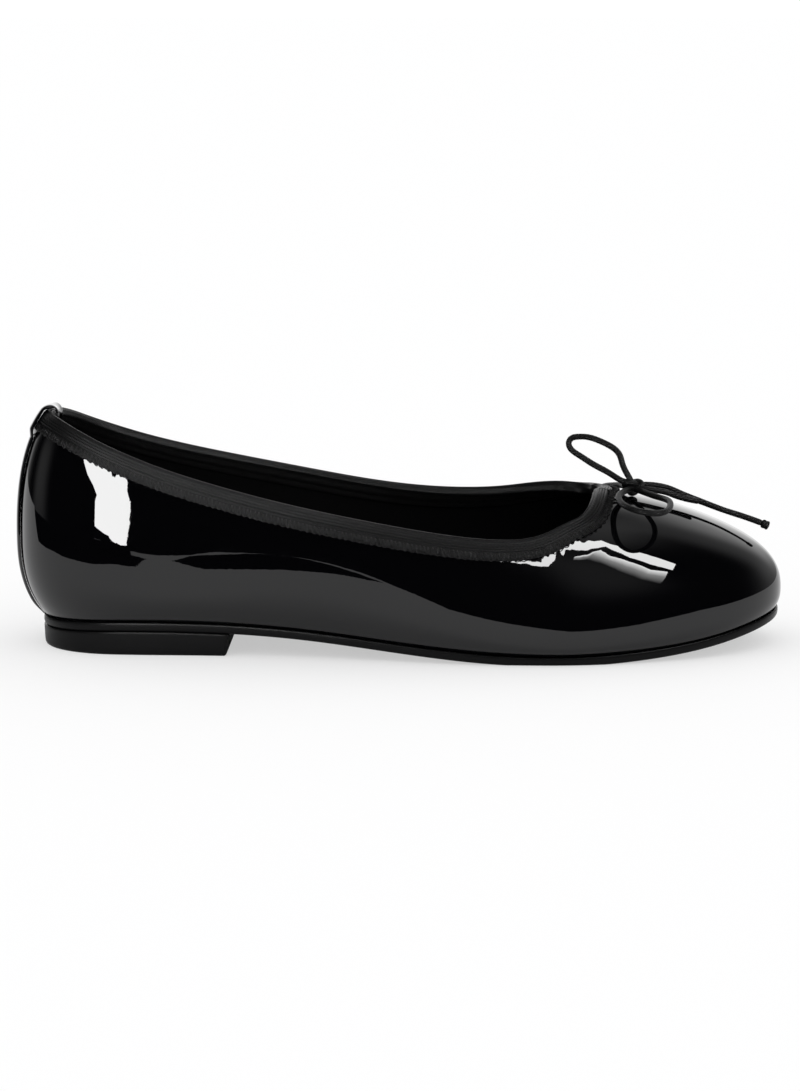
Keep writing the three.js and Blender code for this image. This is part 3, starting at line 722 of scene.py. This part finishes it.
def mottled_black(tree, shader, noise):
    """Colour of dyed yarn: between a deep and a worn black, by a noise."""
    shade = node(tree, "ShaderNodeMapRange", from_min=0.3, from_max=0.75)
    tree.links.new(noise.outputs["Fac"], shade.inputs["Value"])
    colours = node(tree, "ShaderNodeMix", data_type="RGBA")
    colours.inputs["A"].default_value = (0.0015, 0.0015, 0.0017, 1)
    colours.inputs["B"].default_value = (0.0055, 0.0055, 0.0060, 1)
    tree.links.new(shade.outputs["Result"], colours.inputs["Factor"])
    tree.links.new(colours.outputs["Result"], shader.inputs["Base Color"])


elastic, tree, shader = finish_named("elastic_knit")
shader.inputs["Roughness"].default_value = 0.38
shader.inputs["Specular IOR Level"].default_value = 0.2
place = node(tree, "ShaderNodeTexCoord")
stretch = node(tree, "ShaderNodeMapping")
stretch.inputs["Scale"].default_value = (1 / (0.62 * MM), 1 / (0.31 * MM), 1)
tree.links.new(place.outputs["UV"], stretch.inputs["Vector"])
knit = node(
    tree, "ShaderNodeTexWave", wave_type="BANDS", bands_direction="DIAGONAL", scale=0.32, distortion=1.5
)
knit.inputs["Detail Scale"].default_value = 2.0
tree.links.new(stretch.outputs["Vector"], knit.inputs["Vector"])
fuzz = texture_on(tree, place, "ShaderNodeTexNoise", scale=2600, detail=3)
mottled_black(tree, shader, fuzz)
first = add_bump(tree, shader, knit.outputs["Fac"], 0.12 * MM, 0.8)
add_bump(tree, shader, fuzz.outputs["Fac"], 0.05 * MM, 0.5, after=first)
binding.data.materials.append(elastic)
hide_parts("topline_binding")

# Twisted ribs of the tape: two-ply cords knitted in below the rolled rib, on its outer leg.
TWIST_PITCH = 1.12 * MM
TWIST_COUNT = round(COLLAR_LENGTH / TWIST_PITCH)
TWIST_SIDES = 8
TWIST_STEPS = 6
TWIST_RISE = 0.02 * MM           # axis above the tape
TWIST_WAIST = 0.42               # how far a cord narrows between its plies
# Depth below the collar's edge and radius, in mm.
TWISTS = ((1.15, 0.36), (2.0, 0.36), (2.85, 0.36))


def sewn_tube(k, depth, lift, radius, sides):
    """Tube that follows a line beside the wall: circles square to the line, as wide as radius says."""
    line = beside_wall(k, depth, lift)
    along = unit(np.roll(line, -1, axis=0) - np.roll(line, 1, axis=0))
    out = unit(beside_wall(k, depth, lift + 0.5 * MM) - line)
    out = unit(out - np.sum(out * along, -1, keepdims=True) * along)
    across = np.cross(along, out)
    turn = np.arange(sides) * 2 * math.pi / sides
    wide = np.broadcast_to(radius, (len(k), sides))[..., None]
    circle = out[:, None] * np.cos(turn)[None, :, None] + across[:, None] * np.sin(turn)[None, :, None]
    return line[:, None] + circle * wide


def stations_of(run):
    """Place in the close stations of each distance along the collar."""
    return np.interp(run, collar_run, np.arange(len(collar_run)))


twist_run = np.arange(TWIST_COUNT * TWIST_STEPS) * COLLAR_LENGTH / (TWIST_COUNT * TWIST_STEPS)
twist_k = stations_of(twist_run)
tight = np.interp(twist_k, np.append(k_all, len(k_all)), np.append(throat, throat[0]))
ply_turn = 2 * math.pi * np.arange(len(twist_k)) / TWIST_STEPS
around = np.arange(TWIST_SIDES) * 2 * math.pi / TWIST_SIDES
twist_parts = []
for number, (depth, radius) in enumerate(TWISTS):
    slant = 1 if number % 2 else -1
    ply = np.cos(slant * around[None] - ply_turn[:, None]) ** 2
    wide = radius * MM * (1 - TWIST_WAIST * (1 - tight[:, None]) * (1 - ply))
    twist_parts.append(sewn_tube(twist_k, depth * MM, GAP + TAPE_THIN + TWIST_RISE, wide, TWIST_SIDES))


def joined(name, tubes):
    """One mesh from several closed tubes, each a ring of circles that meets its own start."""
    pieces = [skin(f"{name}_{i}", tube, closed=True) for i, tube in enumerate(tubes)]
    work = bmesh.new()
    for part in pieces:
        work.from_mesh(part.data)
        old = part.data
        bpy.data.objects.remove(part)
        bpy.data.meshes.remove(old)
    bmesh.ops.recalc_face_normals(work, faces=work.faces)
    mesh = bpy.data.meshes.new(name)
    work.to_mesh(mesh)
    work.free()
    piece = bpy.data.objects.new(name, mesh)
    bpy.context.scene.collection.objects.link(piece)
    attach(piece, "root")
    return piece


twists = joined("binding_twists", twist_parts)

thread, tree, shader = finish_named("sewing_thread")
shader.inputs["Base Color"].default_value = (0.0030, 0.0030, 0.0033, 1)
shader.inputs["Roughness"].default_value = 0.42
shader.inputs["Specular IOR Level"].default_value = 0.25
place = node(tree, "ShaderNodeTexCoord")
plies = texture_on(tree, place, "ShaderNodeTexNoise", scale=3800, detail=3)
add_bump(tree, shader, plies.outputs["Fac"], 0.05 * MM, 0.6)
twists.data.materials.append(thread)

# Zigzag sewing. Three close rows of thread cross the lower half of the tape and catch the leather below.
# Each row wanders a little, as a stretched elastic leaves it.
ZIGZAG_STEPS = 8
ZIGZAG_THREAD = 0.17 * MM
ZIGZAG_SIDES = 5
ZIGZAG_WANDER = 0.16
# pitch, top and bottom below the collar's edge, in mm, and lag, in stitches.
ZIGZAG_ROWS = ((1.75, 3.7, 5.75, 0.0), (1.31, 3.5, 5.2, 0.6), (2.1, 4.2, 6.0, 0.3))
rng = np.random.default_rng(7)
zigzag_parts = []
for pitch, top, bottom, lag in ZIGZAG_ROWS:
    count = round(COLLAR_LENGTH / (pitch * MM))
    beat = np.arange(count * ZIGZAG_STEPS) / ZIGZAG_STEPS + lag
    wander = np.repeat(rng.uniform(-1, 1, (2, count)), ZIGZAG_STEPS, axis=1)
    swing = 0.5 - 0.5 * np.cos(2 * math.pi * beat + 0.7 * np.sin(2 * math.pi * beat))
    astray = np.sin(math.pi * (beat - lag))
    run = np.mod((beat + ZIGZAG_WANDER * wander[0] * astray) * COLLAR_LENGTH / count, COLLAR_LENGTH)
    depth = (top + (bottom - top) * swing) * MM + ZIGZAG_WANDER * MM * wander[1] * astray**2
    lift = GAP + TAPE_THIN + (0.10 + 0.10 * np.sin(2 * math.pi * beat * 0.5) ** 2) * MM
    zigzag_parts.append(sewn_tube(stations_of(run), depth, lift, ZIGZAG_THREAD, ZIGZAG_SIDES))
zigzag = joined("binding_zigzag", zigzag_parts)
zigzag.data.materials.append(thread)

# Back strip. A narrow folded strip of the same patent over the heel seam. It is sewn down the back, puffs
# out over the binding at the top and is caught down inside.
STRIP_WIDTH = 18 * MM
OVER = GAP + BINDING + GAP
PUFF = 0.8 * MM
station_width = (HEEL_RUN - BACK) * math.pi / 2 / HEEL_STEPS
half_span = STRIP_WIDTH / 2 / station_width
STRIP_ACROSS = 33
STEP_TOP = 9.5 * MM              # where the strip starts to step out over the binding, below the edge
STEP_RUN = 3.2 * MM
strip_s = np.linspace(-half_span, half_span, STRIP_ACROSS)
strip_k = strip_s * COLLAR_FINE
strip_at = np.linspace(-1, 1, STRIP_ACROSS)
t_below = np.interp(np.mod(strip_k, len(collar_s)), k_all, wall_t[-1])


def strip_lift(down):
    """Height of the strip's underside over the wall: close to the wall, and over the binding above it."""
    return GAP + (OVER - GAP) * smooth((STEP_TOP - down) / STEP_RUN)


# Thickness across the strip, as a share of STRIP: even, and skived thin at its two edges.
STRIP_OUTER = 1 - 0.9 * np.abs(strip_at) ** 14
strip_rows = []


def strip_ring(place):
    """One ring of the strip: its outer face from edge to edge and back along its under face."""
    outer_side = place(STRIP * STRIP_OUTER)
    under_side = place(0 * strip_at)
    return np.concatenate([outer_side, under_side[::-1]])


for t in np.linspace(-1, 0, 31):
    base, way = last(strip_s, t), outward(strip_s, t)
    skived = 0.4 + 0.6 * smooth((t + 1) / 0.22)
    strip_rows.append(strip_ring(lambda o: base + way * (GAP + skived * o)[:, None]))
for f in np.linspace(0, 1, 50)[1:]:
    t = t_below * f
    base, way = last(strip_s, t), outward(strip_s, t)
    strip_rows.append(strip_ring(lambda o: base + way * (GAP + o)[:, None]))
for depth in np.linspace(9, 0, 26)[1:] * MM:
    lift = strip_lift(depth)
    strip_rows.append(strip_ring(lambda o: beside_wall(strip_k, depth, lift + o)))
for turn in np.linspace(0, math.pi, 21)[1:-1]:
    puff = PUFF * math.sin(turn)
    strip_rows.append(strip_ring(lambda o: over_edge(
        strip_k, turn, OVER + o, FOLD_RISE + GAP + puff + o)))
for depth in np.linspace(0, 9, 20) * MM:
    lift = strip_lift(depth)
    strip_rows.append(strip_ring(lambda o: beside_wall(strip_k, depth, -WALL - lift - o)))
strip_rows = np.array(strip_rows)
first_cap = strip_rows[0].mean(axis=0) + 0 * strip_rows[0]
last_cap = strip_rows[-1].mean(axis=0) + 0 * strip_rows[-1]
strip = skin("back_strip_patent", np.concatenate([first_cap[None], strip_rows, last_cap[None]]), merge=True)
strip.data.materials.append(patent)
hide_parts("back_strip")

# Bow. The ends of the round braided drawstring leave the binding at the throat, are tied in a small bow with
# two loops, and end in a long and a short tail. The long one has a fused knob at its tip.
CORD = 2 * MM
KNOT = np.array([201.0, 1.5, 51.4])
KNOT_HALF = np.array([3.5, 2.4, 2.4])


def knot_exit(x, y, z):
    """Where a cord that leads the given way leaves the knot, in mm."""
    way = unit(np.array([x, y, z]))
    return KNOT + way * (1 / np.linalg.norm(way / KNOT_HALF) + 2 * GAP / MM)


DRAWSTRING = [
    (192.7, 19.5, 48.7), (194.6, 16.1, 49.5), (196.2, 12.8, 50.1), (197.9, 8.5, 50.7),
    knot_exit(-0.7, 1, -0.25),
]
LOOP_MEDIAL = [
    knot_exit(-1, 0.15, 0.5),
    (193.2, 5.5, 55.3), (188.3, 7.5, 57.7), (184.0, 9.5, 60.2), (181.0, 11.0, 62.2), (180.2, 12.0, 64.2),
    (181.2, 12.5, 65.7), (183.4, 12.5, 66.2), (186.7, 12.0, 66.1), (191.0, 10.5, 64.8), (194.9, 8.5, 62.9),
    (196.8, 6.5, 60.8), (197.8, 4.5, 57.7), knot_exit(-0.45, 0.2, 1),
]
LOOP_LATERAL = [
    knot_exit(-0.6, -1, -0.2),
    (196.5, -8.3, 50.6), (195.6, -14.5, 50.3), (196.3, -21.0, 49.5), (198.6, -26.8, 48.9),
    (201.8, -30.4, 48.4), (205.7, -31.8, 48.1), (209.0, -29.8, 48.1), (211.3, -24.6, 48.7),
    (211.7, -18.6, 49.6), (210.1, -13.2, 49.8), (207.2, -8.6, 50.0), knot_exit(0.75, -1, -0.35),
]
TAIL_LONG = [
    knot_exit(1, 0.45, 0.12),
    (211.5, 4.2, 50.8), (215.4, 4.6, 49.3), (220.3, 5.0, 47.2), (225.9, 5.4, 45.0), (231.4, 5.8, 42.9),
    (236.9, 6.2, 41.1), (242.4, 6.6, 39.1), (243.6, 6.7, 38.6),
]
TAIL_SHORT = [
    knot_exit(1, -0.35, -0.12),
    (210.6, 0.4, 50.0), (214.5, 0.7, 48.7), (218.8, 1.1, 47.4), (222.6, 1.6, 46.6),
]
# The first cord runs from the binding through the knot, round the inner loop, and out as the long tail. The
# second starts in the knot, runs round the outer loop and out as the short tail.
HIDDEN_START = [(191.6, 20.6, 48.2)]
TURN_A = [KNOT + (0.4, 1.0, -0.8), KNOT + (1.4, -0.2, 0.1), KNOT + (0.4, -0.8, 1.1), KNOT + (-1.2, -0.4, 1.4)]
TURN_B = [KNOT + (-0.2, 0.2, 1.2), KNOT + (1.4, 0.5, 0.3)]
TURN_C = [KNOT + (0.8, -1.0, -0.6), KNOT + (0.3, 0.1, -0.2), KNOT + (1.1, 0.6, 0.0), KNOT + (2.4, -0.2, -0.1)]
ROUTE_A = [*HIDDEN_START, *DRAWSTRING, *TURN_A, *LOOP_MEDIAL, *TURN_B, *TAIL_LONG]
ROUTE_B = [KNOT + (0.3, -0.4, -0.2), *LOOP_LATERAL, *TURN_C, *TAIL_SHORT]
CORD_SPACING = 0.16 * MM
CORD_SIDES = 24
AROUND_RUN = np.arange(CORD_SIDES + 1) * math.pi * CORD / CORD_SIDES
RIDGES = 8
RIDGE_TURN = 14 * MM
BRAID_STRANDS = 6
BRAID_PITCH = 2.4 * MM


def smooth_route(points):
    """Even curve through the route's points, at equal steps along its length."""
    points = np.array(points) * MM
    knots = np.concatenate([[0], np.cumsum(np.linalg.norm(np.diff(points, axis=0), axis=1) ** 0.5)])
    fine = np.linspace(0, knots[-1], 4000)
    line = np.stack([even_curve(knots, points[:, i], fine) for i in range(3)], -1)
    run = np.concatenate([[0], np.cumsum(np.linalg.norm(np.diff(line, axis=0), axis=1))])
    even = np.linspace(0, run[-1], round(run[-1] / CORD_SPACING) + 1)
    return np.stack([np.interp(even, run, line[:, i]) for i in range(3)], -1), even


def carried_frames(line):
    """Directions square to the line, carried along it without twist by small turns from step to step."""
    along = unit(np.gradient(line, axis=0))
    side = np.zeros_like(line)
    side[0] = unit(np.cross(along[0], [0.3, 0.1, 1.0]))
    for i in range(1, len(line)):
        side[i] = unit(side[i - 1] - np.dot(side[i - 1], along[i]) * along[i])
    return along, side, np.cross(along, side)


def braided_cord(name, points):
    """Tube along a route. Its radius has eight lengthwise ridges that turn slowly, crossed by a fine braid,
    and its two ends close in a dome."""
    line, run = smooth_route(points)
    along, side, other = carried_frames(line)
    turn = np.arange(CORD_SIDES) * 2 * math.pi / CORD_SIDES
    ridge = np.cos(RIDGES * turn[None] + 2 * math.pi * run[:, None] / RIDGE_TURN)
    braid = np.cos(BRAID_STRANDS * turn[None] - 2 * math.pi * run[:, None] / BRAID_PITCH)
    braid = braid * np.cos(BRAID_STRANDS * turn[None] + 2 * math.pi * run[:, None] / BRAID_PITCH)
    wide = CORD / 2 * (0.985 + 0.035 * ridge + 0.03 * braid)
    wander = 0.02 * np.sin(run / (5 * MM)) + 0.015 * np.sin(run / (2.1 * MM) + 1)
    wide = wide * (1 + wander[:, None])
    to_end = np.minimum(run, run[-1] - run) / (0.35 * CORD)
    wide = wide * np.sqrt(np.clip(1 - (1 - np.clip(to_end, 0, 1)) ** 2, 0, 1))[:, None]
    circle = side[:, None] * np.cos(turn)[None, :, None] + other[:, None] * np.sin(turn)[None, :, None]
    rings = line[:, None] + circle * wide[..., None]
    piece = skin(name, rings, u=AROUND_RUN, v=run, merge=True)
    return piece, [tuple(p) for p in (line + ORIGIN)[::8]], run[-1]


cord_a, path_a, length_a = braided_cord("bow_cord_inner", ROUTE_A)
cord_b, path_b, length_b = braided_cord("bow_cord_outer", ROUTE_B)

braid_cloth, tree, shader = finish_named("braided_cord")
shader.inputs["Roughness"].default_value = 0.42
shader.inputs["Specular IOR Level"].default_value = 0.2
place = node(tree, "ShaderNodeTexCoord")
strands = node(tree, "ShaderNodeMapping")
strands.inputs["Scale"].default_value = (1 / (0.39 * MM), 1 / (1.2 * MM), 1)
tree.links.new(place.outputs["UV"], strands.inputs["Vector"])
herring = node(
    tree, "ShaderNodeTexWave", wave_type="BANDS", bands_direction="DIAGONAL", scale=0.45, distortion=1.0
)
tree.links.new(strands.outputs["Vector"], herring.inputs["Vector"])
fibre = texture_on(tree, place, "ShaderNodeTexNoise", scale=3200, detail=4)
mottled_black(tree, shader, fibre)
first = add_bump(tree, shader, herring.outputs["Fac"], 0.10 * MM, 0.7)
add_bump(tree, shader, fibre.outputs["Fac"], 0.05 * MM, 0.5, after=first)

# Knot of the bow: the strands lie over and under each other in three turns, pulled tight.
KNOT_STRAND = 0.98 * MM
KNOT_WINDING = np.array([3.0, 1.25, 2.1])      # half sizes of the three turns, in mm
knot_turn = np.linspace(0, 2 * math.pi, 361)[:-1]
knot_x = (np.sin(knot_turn) + 2 * np.sin(2 * knot_turn)) / 3
knot_z = (np.cos(knot_turn) - 2 * np.cos(2 * knot_turn)) / 3
knot_y = -np.sin(3 * knot_turn)
knot_line = np.stack([knot_x, knot_y, knot_z], -1) * KNOT_WINDING * MM + KNOT * MM
knot_along = unit(np.roll(knot_line, -1, axis=0) - np.roll(knot_line, 1, axis=0))
knot_side = unit(np.cross(knot_along, [0.0, 1.0, 0.0]))
knot_other = np.cross(knot_along, knot_side)
ring_turn = np.arange(CORD_SIDES) * 2 * math.pi / CORD_SIDES
knot_wide = KNOT_STRAND * (1 + 0.05 * np.cos(8 * ring_turn[None] + 3 * knot_turn[:, None]))[..., None]
knot_rings = knot_line[:, None] + knot_wide * (
    knot_side[:, None] * np.cos(ring_turn)[None, :, None]
    + knot_other[:, None] * np.sin(ring_turn)[None, :, None]
)
knot_run = np.linspace(0, 24 * MM, len(knot_turn) + 1)
knot = skin("bow_knot_strands", knot_rings, closed=True, u=AROUND_RUN, v=knot_run)
knot.data.materials.append(braid_cloth)
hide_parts("bow_knot")

# Knob at the long tail's tip: the braid's end, fused and rolled into a short bead.
KNOB_LENGTH = 2.6 * MM
KNOB_RADIUS = 1.45 * MM
knob_way = unit(np.array(TAIL_LONG[-1]) - np.array(TAIL_LONG[-2]))
knob_from = np.array(TAIL_LONG[-1]) * MM - knob_way * 0.2 * MM
knob_side = unit(np.cross(knob_way, [0.0, 0.0, 1.0]))
knob_other = np.cross(knob_way, knob_side)
# Profile of the bead. along: share of its length. wide: share of its radius.
KNOB_PROFILE = np.array([
    (0.0, 0.0), (0.0, 0.45), (0.03, 0.72), (0.12, 0.92), (0.28, 1.0), (0.45, 0.95), (0.56, 0.9), (0.7, 0.98),
    (0.84, 1.0), (0.94, 0.88), (1.0, 0.6), (1.03, 0.3), (1.04, 0.0),
])
knob_wide = KNOB_RADIUS * KNOB_PROFILE[:, 1:] * (1 + 0.05 * np.cos(5 * ring_turn)[None])
knob_rings = (
    knob_from + knob_way * KNOB_LENGTH * KNOB_PROFILE[:, 0][:, None, None]
    + knob_wide[..., None]
    * (knob_side * np.cos(ring_turn)[:, None] + knob_other * np.sin(ring_turn)[:, None])
)
knob = skin("bow_knob_bead", knob_rings, merge=True, u=AROUND_RUN, v=KNOB_PROFILE[:, 0] * KNOB_LENGTH)
knob.data.materials.append(braid_cloth)
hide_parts("bow_tail_knob")

for piece in (cord_a, cord_b):
    piece.data.materials.append(braid_cloth)
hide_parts("bow_drawstring", "bow_loop_medial", "bow_tail_long")
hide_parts("bow_loop_lateral", "bow_tail_short")

# Floor. A plain white sheet under the shoe on a wide floor of the same white. The patent mirrors the sheet
# alone, whose front edge runs close to the shoe at the heel and at the toe.
FRONT_LEFT = (-1.05, -3.00)
FRONT_RIGHT = (-0.76, -3.00)
SHEET_OUTLINE = [
    (-0.36, -0.01), (-0.31, -0.12), (-0.24, -0.19), (-0.17, -0.24), (-0.12, -0.31), (-0.14, -0.52),
    (-0.22, -0.92), FRONT_LEFT, FRONT_RIGHT, (-0.24, -1.06), (-0.03, -0.29), (0.04, -0.24),
    (0.09, -0.18), (0.18, -0.18), (0.54, -0.39), (0.77, -0.22), (1.30, 0.10), (2.00, 2.00),
    (-2.00, 2.00), (-1.20, 0.20),
]
SHEET_LIFT = 0.05 * MM
FLOOR_HALF = 60.0
FLOOR_OUTLINE = [
    (-FLOOR_HALF, -FLOOR_HALF), (FLOOR_HALF, -FLOOR_HALF),
    (FLOOR_HALF, FLOOR_HALF), (-FLOOR_HALF, FLOOR_HALF),
]
white, tree, shader = finish_named("floor_white")
shader.inputs["Base Color"].default_value = (0.93, 0.93, 0.935, 1)
shader.inputs["Roughness"].default_value = 1.0
shader.inputs["Specular IOR Level"].default_value = 0.0


def laid_flat(name, outline, height):
    """White sheet of an outline in plan at a height."""
    mesh = bpy.data.meshes.new(name)
    mesh.from_pydata([(x, y, height) for x, y in outline], [], [tuple(range(len(outline)))])
    mesh.materials.append(white)
    sheet = bpy.data.objects.new(name, mesh)
    bpy.context.scene.collection.objects.link(sheet)
    return sheet


def only_in_gloss(sheet):
    """Hides a sheet from everything but mirrored rays."""
    sheet.visible_camera = False
    sheet.visible_diffuse = False
    sheet.visible_shadow = False


# The wide floor glows a little of its own, so that the shoe's shadow stays pale.
bright, tree, shader = finish_named("floor_bright")
shader.inputs["Base Color"].default_value = (0.46, 0.46, 0.462, 1)
shader.inputs["Roughness"].default_value = 1.0
shader.inputs["Specular IOR Level"].default_value = 0.0
shader.inputs["Emission Color"].default_value = (1, 1, 1, 1)
shader.inputs["Emission Strength"].default_value = 0.51
wide = laid_flat("floor_wide", FLOOR_OUTLINE, 0.0)
wide.data.materials[0] = bright
wide.visible_glossy = False
only_in_gloss(laid_flat("floor_sheet", SHEET_OUTLINE, SHEET_LIFT))

# Studio light. An even white room lights floor and fabrics but stays out of the gloss. The patent shows the
# sheet below it, black above its edge, and the soft lights of the studio.
world = bpy.data.worlds.new("room")
world.use_nodes = True
world.node_tree.nodes["Background"].inputs["Color"].default_value = (1, 1, 1, 1)
world.node_tree.nodes["Background"].inputs["Strength"].default_value = 1.06
world.cycles_visibility.glossy = False
bpy.context.scene.world = world

lamp_glow = bpy.data.materials.new("lamp_glow")
lamp_glow.use_nodes = True
tree = lamp_glow.node_tree
tree.nodes.remove(tree.nodes["Principled BSDF"])
lamp = node(tree, "ShaderNodeEmission")
amount = node(tree, "ShaderNodeAttribute", attribute_name="glow")
tree.links.new(amount.outputs["Fac"], lamp.inputs["Strength"])
tree.links.new(lamp.outputs["Emission"], tree.nodes["Material Output"].inputs["Surface"])


def light_sheet(name, rows, glow):
    """Glowing sheet over a grid of points, seen only in gloss. glow: its light, for each point or row."""
    grid = np.array(rows, dtype=float)
    count = grid.shape[1]
    r, i = np.meshgrid(np.arange(grid.shape[0] - 1), np.arange(count - 1), indexing="ij")
    quads = np.stack([r * count + i, r * count + i + 1, (r + 1) * count + i + 1, (r + 1) * count + i], -1)
    mesh = bpy.data.meshes.new(name)
    mesh.from_pydata(grid.reshape(-1, 3).tolist(), [], quads.reshape(-1, 4).tolist())
    light = np.broadcast_to(glow, grid.shape[:2]).astype(np.float32)
    mesh.attributes.new("glow", "FLOAT", "POINT").data.foreach_set("value", light.ravel())
    mesh.materials.append(lamp_glow)
    sheet = bpy.data.objects.new(name, mesh)
    bpy.context.scene.collection.objects.link(sheet)
    only_in_gloss(sheet)


# Soft lights of the room. azimuth: degrees from the camera's side (-Y) towards the toe. elevation: degrees.
# wide, high: half sizes, in degrees. strength: light at its middle.
ROOM_COLUMNS = ("azimuth", "elevation", "wide", "high", "strength")
ROOM_LIGHTS = np.array([
    (190, 6, 32, 22, 1.90), (152, 32, 18, 20, 0.85), (128, 38, 24, 30, 0.38), (125, 5, 32, 22, 0.26),
    (-90, 10, 13, 18, 0.30), (30, 38, 14, 18, 0.20), (0, 95, 400, 26, 0.90),
], dtype=[(name, float) for name in ROOM_COLUMNS])
ROOM_RADIUS = 3.0
FADE_POWER = 3

azimuth, elevation = np.meshgrid(np.arange(-180, 181, 3.0), np.arange(-2, 91, 2.0))
room_glow = np.zeros(azimuth.shape)
for light in ROOM_LIGHTS:
    across = np.abs((azimuth - light["azimuth"] + 180) % 360 - 180) / light["wide"]
    upright = np.abs(elevation - light["elevation"]) / light["high"]
    room_glow += light["strength"] * np.exp(-(across**FADE_POWER) - upright**FADE_POWER)
turn, rise = np.radians(azimuth), np.radians(elevation)
room_points = ROOM_RADIUS * np.stack([
    np.sin(turn) * np.cos(rise), -np.cos(turn) * np.cos(rise), np.sin(rise),
], -1)
light_sheet("light_room", room_points, room_glow)

# The sheet's far front end curves up a little, and a dark card by the heel keeps that end out of the heel's
# round.
SHEET_RISE = 0.10
light_sheet("light_front", [[(*FRONT_LEFT, z), (*FRONT_RIGHT, z)] for z in (0.0, SHEET_RISE)], 0.95)
light_sheet("dark_card", [[(-0.165, -0.176, z), (-0.103, -0.176, z)] for z in (0.018, 0.036)], 0.0)

# Two narrow strip lights above the vamp, one over the other, and a small one beside the heel.
UPPER_STRIP = np.array([
    [(0.064, -0.323, 0.233), (0.124, -0.280, 0.270), (0.144, -0.177, 0.342), (0.179, -0.068, 0.366),
     (0.189, -0.088, 0.360), (0.215, -0.121, 0.342), (0.251, -0.138, 0.318), (0.300, -0.157, 0.278)],
    [(0.066, -0.328, 0.226), (0.130, -0.290, 0.258), (0.160, -0.182, 0.333), (0.188, -0.107, 0.354),
     (0.198, -0.127, 0.346), (0.225, -0.169, 0.316), (0.262, -0.190, 0.283), (0.300, -0.195, 0.251)],
])
LOWER_STRIP = np.array([
    [(0.166, -0.204, 0.318), (0.188, -0.134, 0.346), (0.203, -0.167, 0.327), (0.230, -0.194, 0.299),
     (0.268, -0.218, 0.258), (0.296, -0.209, 0.243)],
    [(0.163, -0.228, 0.303), (0.177, -0.212, 0.310), (0.201, -0.222, 0.293), (0.227, -0.251, 0.255),
     (0.260, -0.266, 0.212), (0.294, -0.263, 0.181)],
])
STRIP_LIGHT = 18.0
STRIP_FADE = 5.0
light_sheet("light_upper", UPPER_STRIP, STRIP_LIGHT)
lower_middle = 0.55 * LOWER_STRIP[0] + 0.45 * LOWER_STRIP[1]
lower_rows = [LOWER_STRIP[0], lower_middle, LOWER_STRIP[1]]
light_sheet("light_lower", lower_rows, [[STRIP_LIGHT], [STRIP_FADE], [0.0]])
# Height, left edge and right edge of the heel's light, in metres.
HEEL_LIGHT_Y = -0.175
HEEL_STRENGTH = 22.0
HEEL_LIGHT = [
    (0.175, -0.175, -0.092), (0.153, -0.170, -0.092), (0.125, -0.156, -0.092), (0.105, -0.136, -0.096),
    (0.089, -0.126, -0.097), (0.080, -0.132, -0.098), (0.057, -0.136, -0.101), (0.050, -0.138, -0.102),
    (0.043, -0.112, -0.103), (0.034, -0.106, -0.104),
]
heel_rows = [[(left, HEEL_LIGHT_Y, z), (right, HEEL_LIGHT_Y, z)] for z, left, right in HEEL_LIGHT]
light_sheet("light_heel", heel_rows, HEEL_STRENGTH)
